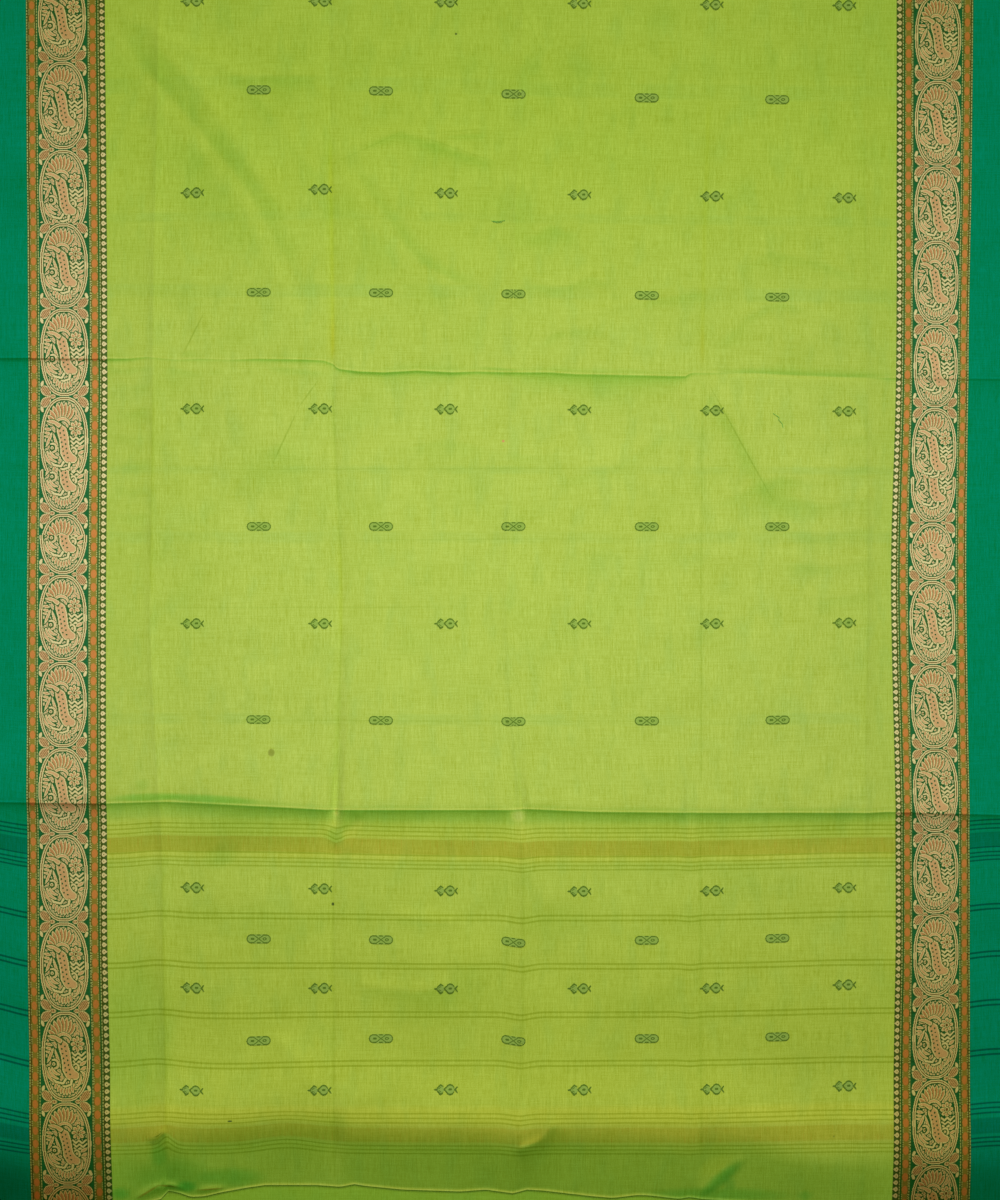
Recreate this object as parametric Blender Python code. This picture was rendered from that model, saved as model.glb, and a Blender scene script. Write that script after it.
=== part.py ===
"""A cotton sari folded back and forth in four layers and lying flat, its striped end on top.

X runs across the cloth, +Y runs from the striped end towards the body of the cloth and +Z is up.
The origin is at the bottom centre. Lengths are in metres, and names ending in _MM are millimetres.
"""

import math
from collections import namedtuple

import bmesh
import bpy

MM = 0.001

# Driving dimensions
CLOTH_WIDTH = 1150 * MM
FOLDED_LENGTH = 1417 * MM
SHEET_THICKNESS = 1.0 * MM
LAYER_PITCH = 2.4 * MM
LAYER_COUNT = 4
PANEL_LOFT = 1.2 * MM
LEAST_HEIGHT = -0.9 * MM
FOLD_STEPS = 4
INNER_END_INSET = 9 * MM
CREST_ROUNDING = 1.5 * MM
BACK_FOLD_SETTLES_OVER = 45 * MM
STRIPED_END_SETTLES_OVER = 30 * MM
STRIPED_END_REST = 0.15

HALF_WIDTH = CLOTH_WIDTH / 2
HALF_LENGTH = FOLDED_LENGTH / 2
FOLD_RADIUS = LAYER_PITCH / 2
TOP_LAYER = LAYER_COUNT - 1

COTTON_LIME = (0.392, 0.546, 0.054, 1.0)
COTTON_ROUGHNESS = 0.85

# The two pressed creases that cross the top layer, and the roll before its end: each row is a
# point of the crest, with its place across and along the cloth and its height.
CrestPoint = namedtuple("CrestPoint", "across_mm along_mm height_mm")
UPPER_CREASE = (
    CrestPoint(-575, 256, 2.0),
    CrestPoint(-372, 252, 2.5),
    CrestPoint(-194, 250, 2.5),
    CrestPoint(-180, 241, 1.5),
    CrestPoint(-10, 239, 3.0),
    CrestPoint(22, 235, 2.5),
    CrestPoint(206, 234, 4.0),
    CrestPoint(217, 240, 2.0),
    CrestPoint(427, 235, 2.5),
    CrestPoint(575, 232, 2.0),
)
LOWER_CREASE = (
    CrestPoint(-575, -224, 4.5),
    CrestPoint(-361, -224, 5.0),
    CrestPoint(-180, -233, 7.0),
    CrestPoint(-172, -233, 4.0),
    CrestPoint(-107, -233, 6.5),
    CrestPoint(8, -233, 6.0),
    CrestPoint(20, -232, 3.0),
    CrestPoint(31, -232, 6.0),
    CrestPoint(211, -236, 5.5),
    CrestPoint(217, -236, 3.5),
    CrestPoint(224, -236, 6.0),
    CrestPoint(398, -236, 5.0),
    CrestPoint(421, -235, 3.5),
    CrestPoint(575, -239, 4.0),
)
END_ROLL = (
    CrestPoint(-575, -568, 3.0),
    CrestPoint(-421, -579, 3.5),
    CrestPoint(-361, -579, 9.0),
    CrestPoint(-269, -555, 8.0),
    CrestPoint(-183, -544, 8.0),
    CrestPoint(-167, -570, 5.5),
    CrestPoint(-21, -581, 6.0),
    CrestPoint(33, -590, 6.0),
    CrestPoint(60, -561, 9.0),
    CrestPoint(152, -588, 5.5),
    CrestPoint(217, -598, 5.0),
    CrestPoint(238, -579, 8.0),
    CrestPoint(325, -609, 4.0),
    CrestPoint(575, -615, 3.0),
)

# The free striped end, where it lies on the layer below it.
EndPoint = namedtuple("EndPoint", "across_mm along_mm")
STRIPED_END = (
    EndPoint(-575, -682),
    EndPoint(-430, -668),
    EndPoint(-378, -656),
    EndPoint(-367, -645),
    EndPoint(-342, -652),
    EndPoint(-282, -642),
    EndPoint(-163, -638),
    EndPoint(-42, -646),
    EndPoint(34, -644),
    EndPoint(130, -653),
    EndPoint(220, -653),
    EndPoint(575, -678),
)

# Lines of the weave that run along the top layer: the selvedges and the pressed creases
# between them. Each row gives the line's place across at five stations along the cloth, from
# the striped end to the back fold, and the height of its ridge, or depth of its trough.
STATIONS_MM = (-654, -330, -7, 240, 709)
WarpLine = namedtuple("WarpLine", "name end low middle high back height_mm")
WARP_LINES = (
    WarpLine("left_selvedge", -569, -573, -574, -573, -575, 0.0),
    WarpLine("first_crease", -358, -363, -377, -374, -367, 2.2),
    WarpLine("second_crease", -178, -180, -171, -180, -185, -1.8),
    WarpLine("third_crease", 22, 26, 8, 14, 26, 2.4),
    WarpLine("fourth_crease", 217, 217, 218, 219, 229, -1.6),
    WarpLine("fifth_crease", 391, 392, 398, 396, 391, 2.0),
    WarpLine("right_selvedge", 571, 571, 568, 572, 575, 0.0),
)

# How far each crest reaches down its two flanks.
Flanks = namedtuple("Flanks", "back_mm front_mm")
UPPER_CREASE_FLANKS = Flanks(9, 11)
LOWER_CREASE_FLANKS = Flanks(16, 20)
END_ROLL_REACH_MM = 62
WARP_CREASE_FLANK_MM = 10

# Soft rises of the top layer between its creases.
Swell = namedtuple("Swell", "across_mm along_mm half_width_mm half_length_mm turn_deg height_mm")
SWELLS = (
    Swell(-300, 480, 36, 170, 32, 3.5),
    Swell(-95, 395, 34, 120, 40, 2.6),
    Swell(300, 150, 26, 85, 28, 2.6),
    Swell(-260, 190, 45, 60, -30, 1.8),
    Swell(110, 60, 70, 80, 0, 1.6),
    Swell(-275, -95, 60, 90, 10, 1.6),
    Swell(300, -80, 55, 85, -15, 1.8),
    Swell(-268, -330, 55, 45, 0, 1.8),
    Swell(-80, -400, 60, 40, 12, 2.2),
    Swell(120, -440, 55, 60, -10, 1.8),
    Swell(310, -420, 60, 55, 0, 1.6),
    Swell(480, 80, 40, 180, 0, 1.8),
    Swell(-475, 20, 40, 200, 0, 1.8),
    Swell(-470, -420, 45, 90, 0, 1.8),
    Swell(485, -450, 45, 100, 0, 1.6),
)

# The folds between the layers, from the lowest: how far the middle of each lies inside the
# folded length, how much further in its edge wavers, and how closely. The lowest one bends in
# between its two corners, so that the cloth rests on them.
FoldEdge = namedtuple("FoldEdge", "inset_mm waver_mm waves_per_m")
FOLD_EDGES = (FoldEdge(10.5, -2.5, 5.4), FoldEdge(0, 2.5, 8.0), FoldEdge(0, 2.5, 9.5))

# How much narrower each lower layer lies than the full width, at its two sides.
DrawIn = namedtuple("DrawIn", "left_back_mm left_front_mm right_back_mm right_front_mm")
LOWER_LAYER_DRAW_IN = (
    DrawIn(3.0, 1.5, 1.0, 4.0),
    DrawIn(3.0, 2.0, 1.0, 1.5),
    DrawIn(0.0, 2.0, 0.0, 1.5),
)

# Spacing of the cross sections and of the columns beside a crest.
UPPER_CREASE_STEPS_MM = (4, 10, 20, 36)
LOWER_CREASE_STEPS_MM = (5, 12, 24, 42)
END_ROLL_STEPS_MM = (10, 24, 44)
WARP_CREASE_STEPS_MM = (8, 22)
BACK_PANEL_ROWS = 8
MIDDLE_PANEL_ROWS = 7
FRONT_PANEL_ROWS = 4
END_STRIP_ROWS = 1
COLUMNS_BETWEEN_CREASES = 2
LOWER_LAYER_ROWS = 4


def remove_everything():
    """Empties the scene."""
    for obj in list(bpy.data.objects):
        bpy.data.objects.remove(obj, do_unlink=True)


def mix(a, b, share):
    """A value between a and b."""
    return a + (b - a) * share


def smooth_share(share):
    """A share from 0 to 1 that starts and ends level."""
    share = min(max(share, 0.0), 1.0)
    return share * share * (3 - 2 * share)


def read_between(places, values, at, ease=False):
    """The value at a place, between those that a rising list of places gives."""
    if at <= places[0]:
        return values[0]
    for left, right, start, stop in zip(places, places[1:], values, values[1:]):
        if at <= right:
            share = (at - left) / (right - left)
            return mix(start, stop, smooth_share(share) if ease else share)
    return values[-1]


def column_of(table, column):
    """One column of a table, in metres."""
    return [getattr(row, column) * MM for row in table]


def guide(table, across, column="along_mm"):
    """Where a table's line lies along the cloth at this place across it, or how high it is."""
    return read_between(column_of(table, "across_mm"), column_of(table, column), across)


def flank(distance, reach):
    """How high a crest of height 1 still is at a distance from it."""
    return math.exp((CREST_ROUNDING - math.hypot(distance, CREST_ROUNDING)) / reach)


def crease_height(table, flanks, across, along):
    """The ridge that a crease across the cloth raises at a point."""
    distance = along - guide(table, across)
    reach = (flanks.back_mm if distance > 0 else flanks.front_mm) * MM
    return guide(table, across, "height_mm") * flank(distance, reach)


def end_roll_height(across, along):
    """The roll before the striped end, which falls to nothing at the end itself."""
    crest = guide(END_ROLL, across)
    height = guide(END_ROLL, across, "height_mm")
    if along > crest:
        return height * math.exp(-(((along - crest) / (END_ROLL_REACH_MM * MM)) ** 2))
    end = guide(STRIPED_END, across)
    share = min((crest - along) / (crest - end), 1.0)
    return height * math.cos(share * math.pi / 2)


def warp_crease_height(across):
    """The ridges and troughs that run along the cloth."""
    return sum(
        line.height_mm * MM * flank(across - line.back * MM, WARP_CREASE_FLANK_MM * MM)
        for line in WARP_LINES
    )


def swell_height(across, along):
    """The soft rises of the panels between creases."""
    total = 0.0
    for swell in SWELLS:
        turn = math.radians(swell.turn_deg)
        x = across - swell.across_mm * MM
        y = along - swell.along_mm * MM
        over = (x * math.cos(turn) + y * math.sin(turn)) / (swell.half_width_mm * MM)
        up = (y * math.cos(turn) - x * math.sin(turn)) / (swell.half_length_mm * MM)
        total += swell.height_mm * MM * math.exp(-over * over - up * up)
    return total


def top_relief(across, along):
    """How far the top layer rises above its level, which dies away at the back fold."""
    height = PANEL_LOFT + warp_crease_height(across) + swell_height(across, along)
    height += crease_height(UPPER_CREASE, UPPER_CREASE_FLANKS, across, along)
    height += crease_height(LOWER_CREASE, LOWER_CREASE_FLANKS, across, along)
    height += end_roll_height(across, along)
    height *= smooth_share((HALF_LENGTH - along) / BACK_FOLD_SETTLES_OVER)
    from_end = along - guide(STRIPED_END, across)
    height *= mix(STRIPED_END_REST, 1.0, smooth_share(from_end / STRIPED_END_SETTLES_OVER))
    return max(height, LEAST_HEIGHT)


def layer_level(layer):
    """Height of a layer's middle surface."""
    return SHEET_THICKNESS / 2 + layer * LAYER_PITCH


def side_of_fold(layer):
    """The fold above a layer is at the back (1) or at the front (-1)."""
    return 1 if layer % 2 == 0 else -1


def fold_centre(layer, across):
    """Where the fold above a layer has its centre, along the cloth."""
    edge = FOLD_EDGES[layer]
    waver = edge.waver_mm * MM * (1 - math.cos(edge.waves_per_m * across)) / 2
    reach = HALF_LENGTH - edge.inset_mm * MM - waver
    return side_of_fold(layer) * (reach - FOLD_RADIUS - SHEET_THICKNESS / 2)


def lower_across(layer, across, along):
    """Where a column lies across a lower layer."""
    drawn = LOWER_LAYER_DRAW_IN[layer]
    share = (HALF_LENGTH - along) / FOLDED_LENGTH
    if across < 0:
        inset = mix(drawn.left_back_mm, drawn.left_front_mm, share) * MM
    else:
        inset = mix(drawn.right_back_mm, drawn.right_front_mm, share) * MM
    return across * (1 - inset / HALF_WIDTH)


def top_across(across, along):
    """Where a column lies across the top layer, which wanders as its warp lines do."""
    stations = [station * MM for station in STATIONS_MM]
    level = [line.back * MM for line in WARP_LINES]
    found = [
        read_between(
            stations,
            [line.end * MM, line.low * MM, line.middle * MM, line.high * MM, line.back * MM],
            along,
            ease=True,
        )
        for line in WARP_LINES
    ]
    return read_between(level, found, across)


def columns():
    """Places across the cloth, close together beside each pressed crease."""
    found = [line.back * MM for line in WARP_LINES]
    for line in WARP_LINES[1:-1]:
        for step in WARP_CREASE_STEPS_MM:
            found += [(line.back - step) * MM, (line.back + step) * MM]
    for left, right in zip(WARP_LINES, WARP_LINES[1:]):
        start = left.back + WARP_CREASE_STEPS_MM[-1] * (left is not WARP_LINES[0])
        stop = right.back - WARP_CREASE_STEPS_MM[-1] * (right is not WARP_LINES[-1])
        for i in range(COLUMNS_BETWEEN_CREASES):
            share = (i + 1) / (COLUMNS_BETWEEN_CREASES + 1)
            found.append(mix(start, stop, share) * MM)
    return sorted(found)


def rows_between(back, front, back_steps, front_steps, middle):
    """Places along the cloth between two guide lines, close together beside each of them."""
    back_steps = [step * MM for step in back_steps]
    front_steps = [step * MM for step in front_steps]
    start = back - (back_steps[-1] if back_steps else 0.0)
    stop = front + (front_steps[-1] if front_steps else 0.0)
    near_back = [back - step for step in back_steps]
    evenly = [mix(start, stop, (i + 1) / (middle + 1)) for i in range(middle)]
    near_front = [front + step for step in reversed(front_steps)]
    return near_back + evenly + near_front


def top_rows(across):
    """Places along the top layer, from its back fold to its striped end."""
    back = fold_centre(TOP_LAYER - 1, across)
    upper = guide(UPPER_CREASE, across)
    lower = guide(LOWER_CREASE, across)
    roll = guide(END_ROLL, across)
    end = guide(STRIPED_END, across)
    rows = [back]
    rows += rows_between(back, upper, (), UPPER_CREASE_STEPS_MM, BACK_PANEL_ROWS)
    rows.append(upper)
    rows += rows_between(
        upper, lower, UPPER_CREASE_STEPS_MM, LOWER_CREASE_STEPS_MM, MIDDLE_PANEL_ROWS
    )
    rows.append(lower)
    rows += rows_between(lower, roll, LOWER_CREASE_STEPS_MM, END_ROLL_STEPS_MM, FRONT_PANEL_ROWS)
    rows.append(roll)
    rows += rows_between(roll, end, END_ROLL_STEPS_MM, (), END_STRIP_ROWS)
    rows.append(end)
    return rows


# A point of the cloth's middle surface, and the way to its first side.
Station = namedtuple("Station", "x y z side_y side_z")


def lower_layer_column(layer, across):
    """One column of a lower layer, in the order in which the cloth runs."""
    start = fold_centre(layer - 1, across) if layer else INNER_END_INSET - HALF_LENGTH
    stop = fold_centre(layer, across)
    column = []
    for i in range(LOWER_LAYER_ROWS):
        along = mix(start, stop, i / (LOWER_LAYER_ROWS - 1))
        x = lower_across(layer, across, along)
        column.append(Station(x, along, layer_level(layer), 0.0, side_of_fold(layer)))
    return column


def fold_column(layer, across, x_before, x_after):
    """One column of the fold that joins a layer to the next one up."""
    side = side_of_fold(layer)
    column = []
    for i in range(1, FOLD_STEPS):
        turn = math.pi * i / FOLD_STEPS
        x = mix(x_before, x_after, i / FOLD_STEPS)
        y = fold_centre(layer, across) + side * FOLD_RADIUS * math.sin(turn)
        z = layer_level(layer) + FOLD_RADIUS * (1 - math.cos(turn))
        column.append(Station(x, y, z, -math.sin(turn), side * math.cos(turn)))
    return column


def top_layer_column(across):
    """One column of the top layer, from its back fold to its striped end."""
    column = []
    for along in top_rows(across):
        z = layer_level(TOP_LAYER) + top_relief(across, along)
        column.append(Station(top_across(across, along), along, z, 0.0, -1.0))
    return column


def cloth_column(across):
    """One column of the whole cloth, from its inner end to its striped end."""
    parts = [lower_layer_column(layer, across) for layer in range(TOP_LAYER)]
    parts.append(top_layer_column(across))
    column = list(parts[0])
    for layer in range(TOP_LAYER):
        column += fold_column(layer, across, parts[layer][-1].x, parts[layer + 1][0].x)
        column += parts[layer + 1]
    return column


def add_side(mesh, grid, offset):
    """Adds the points of one side of the cloth, and gives them as a grid of vertices."""
    return [
        [
            mesh.verts.new((p.x, p.y + offset * p.side_y, p.z + offset * p.side_z))
            for p in column
        ]
        for column in grid
    ]


def add_faces(mesh, side):
    """Joins a grid of vertices with quads."""
    for left, right in zip(side, side[1:]):
        for i in range(len(left) - 1):
            mesh.faces.new((left[i], right[i], right[i + 1], left[i + 1]))


def rim_of(side):
    """The vertices round the edge of one side, in order."""
    last = len(side[0]) - 1
    left = side[0][:last]
    end = [column[last] for column in side[:-1]]
    right = side[-1][:0:-1]
    start = [column[0] for column in side[:0:-1]]
    return left + end + right + start


def add_rim(mesh, one_side, other_side):
    """Closes the cut edges and selvedges between the two sides."""
    one, other = rim_of(one_side), rim_of(other_side)
    for i in range(len(one)):
        j = (i + 1) % len(one)
        mesh.faces.new((one[i], one[j], other[j], other[i]))


def cotton_material():
    """Plain matt cotton."""
    material = bpy.data.materials.new("lime_cotton")
    material.use_nodes = True
    shader = material.node_tree.nodes["Principled BSDF"]
    shader.inputs["Base Color"].default_value = COTTON_LIME
    shader.inputs["Roughness"].default_value = COTTON_ROUGHNESS
    shader.inputs["Metallic"].default_value = 0.0
    material.diffuse_color = COTTON_LIME
    return material


def make_sari():
    """The whole cloth as one closed sheet."""
    grid = [cloth_column(across) for across in columns()]
    mesh = bmesh.new()
    one_side = add_side(mesh, grid, SHEET_THICKNESS / 2)
    other_side = add_side(mesh, grid, -SHEET_THICKNESS / 2)
    add_faces(mesh, one_side)
    add_faces(mesh, other_side)
    add_rim(mesh, one_side, other_side)
    bmesh.ops.recalc_face_normals(mesh, faces=mesh.faces)
    data = bpy.data.meshes.new("sari")
    mesh.to_mesh(data)
    mesh.free()
    data.materials.append(cotton_material())
    data.shade_smooth()
    data.set_sharp_from_angle(angle=math.radians(50))
    sari = bpy.data.objects.new("sari", data)
    bpy.context.scene.collection.objects.link(sari)
    return sari


def main():
    remove_everything()
    make_sari()


main()
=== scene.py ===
"""Looks of a cotton sari that is folded back and forth in four layers and laid flat.

The cloth is one thin sheet on its solid's folds. The extra yarns of its borders and small motifs
float over it thread by thread, as a weaver's chart says. Lengths are in millimetres unless a name
says otherwise: X across the cloth, +Y from its striped end towards its body, +Z up.
"""

import logging
import math
from dataclasses import dataclass, field
from enum import Enum
from typing import Iterable, Optional, Union

import bpy
import numpy as np
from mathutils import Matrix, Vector


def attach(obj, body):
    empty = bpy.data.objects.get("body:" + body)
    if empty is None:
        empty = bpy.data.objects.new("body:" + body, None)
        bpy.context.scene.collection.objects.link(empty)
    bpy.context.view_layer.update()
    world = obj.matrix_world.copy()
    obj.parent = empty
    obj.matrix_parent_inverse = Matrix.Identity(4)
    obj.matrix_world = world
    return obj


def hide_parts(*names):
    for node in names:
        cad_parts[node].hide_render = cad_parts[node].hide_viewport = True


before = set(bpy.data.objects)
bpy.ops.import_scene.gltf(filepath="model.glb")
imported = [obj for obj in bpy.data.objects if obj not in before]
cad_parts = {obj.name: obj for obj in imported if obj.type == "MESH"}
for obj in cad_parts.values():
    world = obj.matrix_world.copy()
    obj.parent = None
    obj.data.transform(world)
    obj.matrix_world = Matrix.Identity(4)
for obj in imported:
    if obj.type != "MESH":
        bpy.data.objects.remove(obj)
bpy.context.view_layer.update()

LOG = logging.getLogger("sari")
MM = 0.001

Array = np.ndarray
Colour = tuple[float, float, float, float]
Tone = tuple[float, float, float]
Point = tuple[float, float]

# The lay of the top layer, as its solid has it

# Crests across the cloth: place across, place along, height, how far the front reaches, how far
# the cloth droops just behind the crest, and over what length.
UPPER_CREASE = (
    (-575, 255, 1.8, 2.4, 0.6, 4.0), (-424, 254, 1.1, 1.8, 0.4, 4.0),
    (-398, 254, 0.7, 1.8, 0.3, 4.0), (-375, 256, 0.3, 1.8, 0.1, 4.0),
    (-343, 253, 0.25, 1.6, 0.1, 4.0), (-319, 254, 0.25, 1.6, 0.1, 4.0),
    (-290, 253, 0.2, 2.0, 0.1, 5.0), (-262, 254, 1.0, 3.0, 0.5, 5.0),
    (-215, 253, 1.1, 3.0, 0.6, 5.0), (-194, 252, 0.7, 2.0, 0.4, 5.0),
    (-184, 248, 0.5, 2.0, 0.4, 5.0), (-180, 243, 0.8, 2.0, 0.4, 6.0),
    (-154, 240, 1.7, 2.0, 0.7, 7.0), (-125, 239, 1.8, 2.0, 0.8, 8.0),
    (-86, 241, 1.4, 2.0, 0.8, 8.0), (-45, 239, 1.6, 2.0, 0.8, 7.0),
    (-17, 240, 0.9, 2.0, 0.6, 6.0), (21, 239, 1.4, 3.0, 0.8, 6.0),
    (66, 239, 2.6, 7.0, 1.1, 6.0), (93, 237, 3.3, 9.0, 1.3, 6.0),
    (145, 236, 3.3, 9.0, 1.4, 6.0), (192, 235, 2.6, 6.0, 1.2, 5.0),
    (212, 235, 1.4, 3.0, 0.8, 5.0), (217, 239, 0.4, 2.0, 0.4, 5.0),
    (275, 238, 0.3, 2.4, 0.3, 4.0), (376, 234, 0.3, 2.4, 0.3, 4.0),
    (428, 233, 0.6, 3.0, 0.4, 4.0), (575, 232, 1.3, 4.0, 0.6, 4.0),
)
LOWER_CREASE = (
    (-575, -224, 4.5, 10.0, 1.6, 8.0), (-427, -226, 5.6, 10.0, 2.8, 9.0),
    (-361, -224, 5.6, 10.0, 3.0, 9.0), (-300, -227, 6.8, 10.0, 3.2, 9.0),
    (-240, -230, 7.6, 10.0, 2.8, 8.0), (-191, -233, 7.6, 10.0, 1.8, 6.0),
    (-187, -233, 2.0, 8.0, 0.6, 5.0), (-182, -233, 2.0, 8.0, 0.6, 5.0),
    (-177, -233, 7.4, 10.0, 2.0, 6.5), (12, -233, 5.8, 9.0, 1.4, 6.0),
    (18, -233, 1.5, 8.0, 0.5, 6.0), (29, -232, 1.5, 8.0, 0.5, 6.0),
    (34, -232, 5.8, 9.0, 2.0, 6.5), (108, -235, 5.8, 9.0, 2.0, 6.5),
    (211, -236, 5.8, 9.0, 1.8, 6.0), (215, -236, 3.2, 8.0, 1.0, 5.0),
    (219, -236, 3.2, 8.0, 1.0, 5.0), (224, -236, 6.4, 10.0, 1.9, 6.0),
    (398, -236, 5.6, 10.0, 1.6, 6.0), (421, -235, 4.4, 10.0, 1.0, 5.0),
    (575, -239, 4.0, 10.0, 0.8, 6.0),
)
END_ROLL = (
    (-575, -568, 8.0), (-421, -579, 10.0), (-361, -575, 14.0), (-269, -560, 13.0),
    (-183, -552, 12.5), (-167, -568, 12.0), (-21, -576, 12.5), (33, -580, 12.5), (60, -566, 14.0),
    (152, -576, 12.5), (217, -584, 12.0), (238, -572, 13.5), (325, -594, 11.0), (575, -605, 8.0),
)
STRIPED_END = (
    (-575, -682), (-430, -668), (-375, -654), (-367, -645), (-356, -647), (-342, -652),
    (-327, -651), (-310, -647), (-282, -642), (-261, -639), (-205, -639), (-179, -641),
    (-163, -638), (-150, -640), (-107, -644), (-42, -646), (-13, -644), (18, -648),
    (34, -644), (52, -645), (106, -651), (130, -653), (157, -650), (169, -650),
    (205, -654), (217, -652), (230, -654), (575, -678),
)

# Lines along the top layer: their place across at each station, and the height of the ridge or
# depth of the trough that is pressed along each.
STATIONS = (-654, -330, -7, 240, 709)
WARP_LINES = (
    ((-569, -573, -574, -573, -575), 0.0),
    ((-506, -510, -511, -510, -512), 0.0),
    ((-417, -423, -425, -424, -426), 0.0),
    ((-358, -363, -377, -374, -367), 2.2),
    ((-178, -180, -171, -180, -185), -1.8),
    ((22, 26, 8, 14, 26), 2.4),
    ((217, 217, 218, 219, 229), -1.6),
    ((391, 392, 398, 396, 391), 2.0),
    ((423, 427, 424, 428, 428), 0.0),
    ((508, 508, 505, 509, 512), 0.0),
    ((571, 571, 568, 572, 575), 0.0),
)

# Where those lines are rubbed yellow, which is wear, and where painted shade darkens them in the
# crease: the line, from and to where along the cloth, half width and tint.
RUBS_AND_CREASE_SHADES = (
    (-185, 246, 500, 3.0, (1.01, 0.98, 0.66)), (-185, 242, 306, 2.6, (0.97, 0.91, 0.66)),
    (229, 242, 540, 2.6, (0.97, 0.96, 0.76)), (229, 240, 300, 2.4, (0.96, 0.92, 0.72)),
    (-185, -205, 232, 1.2, (0.86, 0.89, 0.74)), (-185, -60, 60, 2.4, (1.02, 1.0, 0.80)),
    (229, -215, 225, 1.1, (0.87, 0.90, 0.76)), (11, -220, 140, 1.0, (0.91, 0.93, 0.86)),
    (-367, -10, 230, 1.0, (0.90, 0.92, 0.82)), (-367, 0, 225, 2.4, (0.98, 0.97, 0.84)),
    (-367, -620, -262, 2.4, (0.91, 0.92, 0.76)), (391, -205, 225, 1.1, (0.90, 0.92, 0.84)),
    (391, 240, 500, 1.1, (0.93, 0.95, 0.88)), (337, 280, 640, 1.1, (0.94, 0.95, 0.90)),
    (-185, -640, -250, 1.6, (0.89, 0.91, 0.78)), (26, -560, -250, 1.6, (0.91, 0.93, 0.82)),
    (229, -640, -250, 1.6, (0.89, 0.92, 0.80)),
)

# Gentle bows of the borders' edges: the edge, the middle of the bow, its half length and its depth.
BORDER_EDGES = (-575, -512, -426, -367, 391, 428, 512, 575)
BORDER_BOWS = (
    (-512, 180, 200, 1.2), (-426, 230, 400, 1.5), (428, 60, 170, -2.3), (512, 190, 180, -2.6),
)

# Soft rises between the creases: across, along, half width, half length, turn, height.
SWELLS = (
    (-300, 480, 36, 170, 32, 3.5), (-95, 395, 34, 120, 40, 2.6), (300, 150, 26, 85, 28, 2.6),
    (-260, 190, 45, 60, -30, 1.8), (110, 60, 70, 80, 0, 1.6), (-275, -95, 60, 90, 10, 1.6),
    (300, -80, 55, 85, -15, 1.8), (-268, -330, 55, 45, 0, 1.8), (-80, -400, 60, 40, 12, 2.2),
    (120, -440, 55, 60, -10, 1.8), (310, -420, 60, 55, 0, 1.6), (480, 80, 40, 180, 0, 1.8),
    (-475, 20, 40, 200, 0, 1.8), (-470, -420, 45, 90, 0, 1.8), (485, -450, 45, 100, 0, 1.6),
)

# Soft pulls that have drawn the weft off straight: across, along, half width, half length, and
# how far they draw it towards the striped end.
PULLS = (
    (-560, -400, 40, 260, -12.0), (548, -420, 62, 280, -13.0), (-300, -255, 170, 110, -5.5),
    (-372, -430, 26, 200, -3.6), (-480, -530, 60, 75, 4.5), (-300, -495, 70, 50, 3.2),
    (-236, -592, 38, 34, -7.0), (24, -420, 15, 240, 3.2), (218, -400, 12, 200, 1.6),
    (400, -380, 115, 300, -4.4), (-182, -264, 8, 14, 6.0), (-366, -592, 8, 14, -9.5),
    (-260, 550, 210, 80, -7.5), (-40, 545, 120, 70, -2.5), (-180, 430, 90, 60, -4.2),
    (-300, 290, 400, 90, -3.2), (560, 440, 360, 260, 5.5),
)

# The small motifs' columns, as places across, and their rows in the weave

BAR_COLUMNS = (-260, -128, 15, 159, 300)
BAR_ROWS = (537, 323, 73, -137, -374, -480)
BUD_COLUMNS = (-332, -194, -58, 86, 229, 372)
BUD_ROWS = (638, 432, 199, -32, -321, -426, -534)


class Yarn(Enum):
    """The extra yarns that float over the ground cloth."""

    CREAM = 1
    TAN = 2
    RUSSET = 3
    ORANGE = 4
    GOLD = 5
    PALE = 6
    GREEN = 7
    MOSS = 8
    SAND = 9
    OLIVE = 10


class Side(Enum):
    """The two borders, by the side of the cloth that each runs along."""

    LEFT = -1
    RIGHT = 1


# Where each border lies in the cloth, from its outer edge to its inner one, and its own width.
BORDER_PLACES = {Side.LEFT: (-512, -426), Side.RIGHT: (512, 428)}
BORDER_WIDTH = 87.0


# Arithmetic on whole tables and grids


def mix(start: Array, stop: Array, share: Array) -> Array:
    """A value between two others."""
    return start + (stop - start) * share


def ease(share: Array) -> Array:
    """A share from 0 to 1 that starts and ends level."""
    share = np.clip(share, 0.0, 1.0)
    return share * share * (3 - 2 * share)


def guide(table: Iterable, across: Array, column: int = 1) -> Array:
    """Where a table's line lies at these places across, or another of its columns there."""
    values = np.array([tuple(row) for row in table], float)
    return np.interp(across, values[:, 0], values[:, column])


def turned(x: Array, y: Array, centre: Point, half: Point, turn: float) -> tuple[Array, Array]:
    """A place on an ellipse's own turned axes, as shares of its two half lengths."""
    c, s = math.cos(math.radians(turn)), math.sin(math.radians(turn))
    over = ((x - centre[0]) * c + (y - centre[1]) * s) / half[0]
    up = ((y - centre[1]) * c - (x - centre[0]) * s) / half[1]
    return over, up


def flank(distance: Array, reach: Array, rounding: float = 1.5) -> Array:
    """How high a crest of height 1 still is at a distance from it."""
    return np.exp((rounding - np.hypot(distance, rounding)) / reach)


def linear(red: int, green: int, blue: int) -> Colour:
    """A colour of 8-bit display values as linear light."""

    def channel(value: int) -> float:
        """One display value as linear light."""
        share = value / 255
        return share / 12.92 if share <= 0.04045 else ((share + 0.055) / 1.055) ** 2.4

    return (channel(red), channel(green), channel(blue), 1.0)


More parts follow.
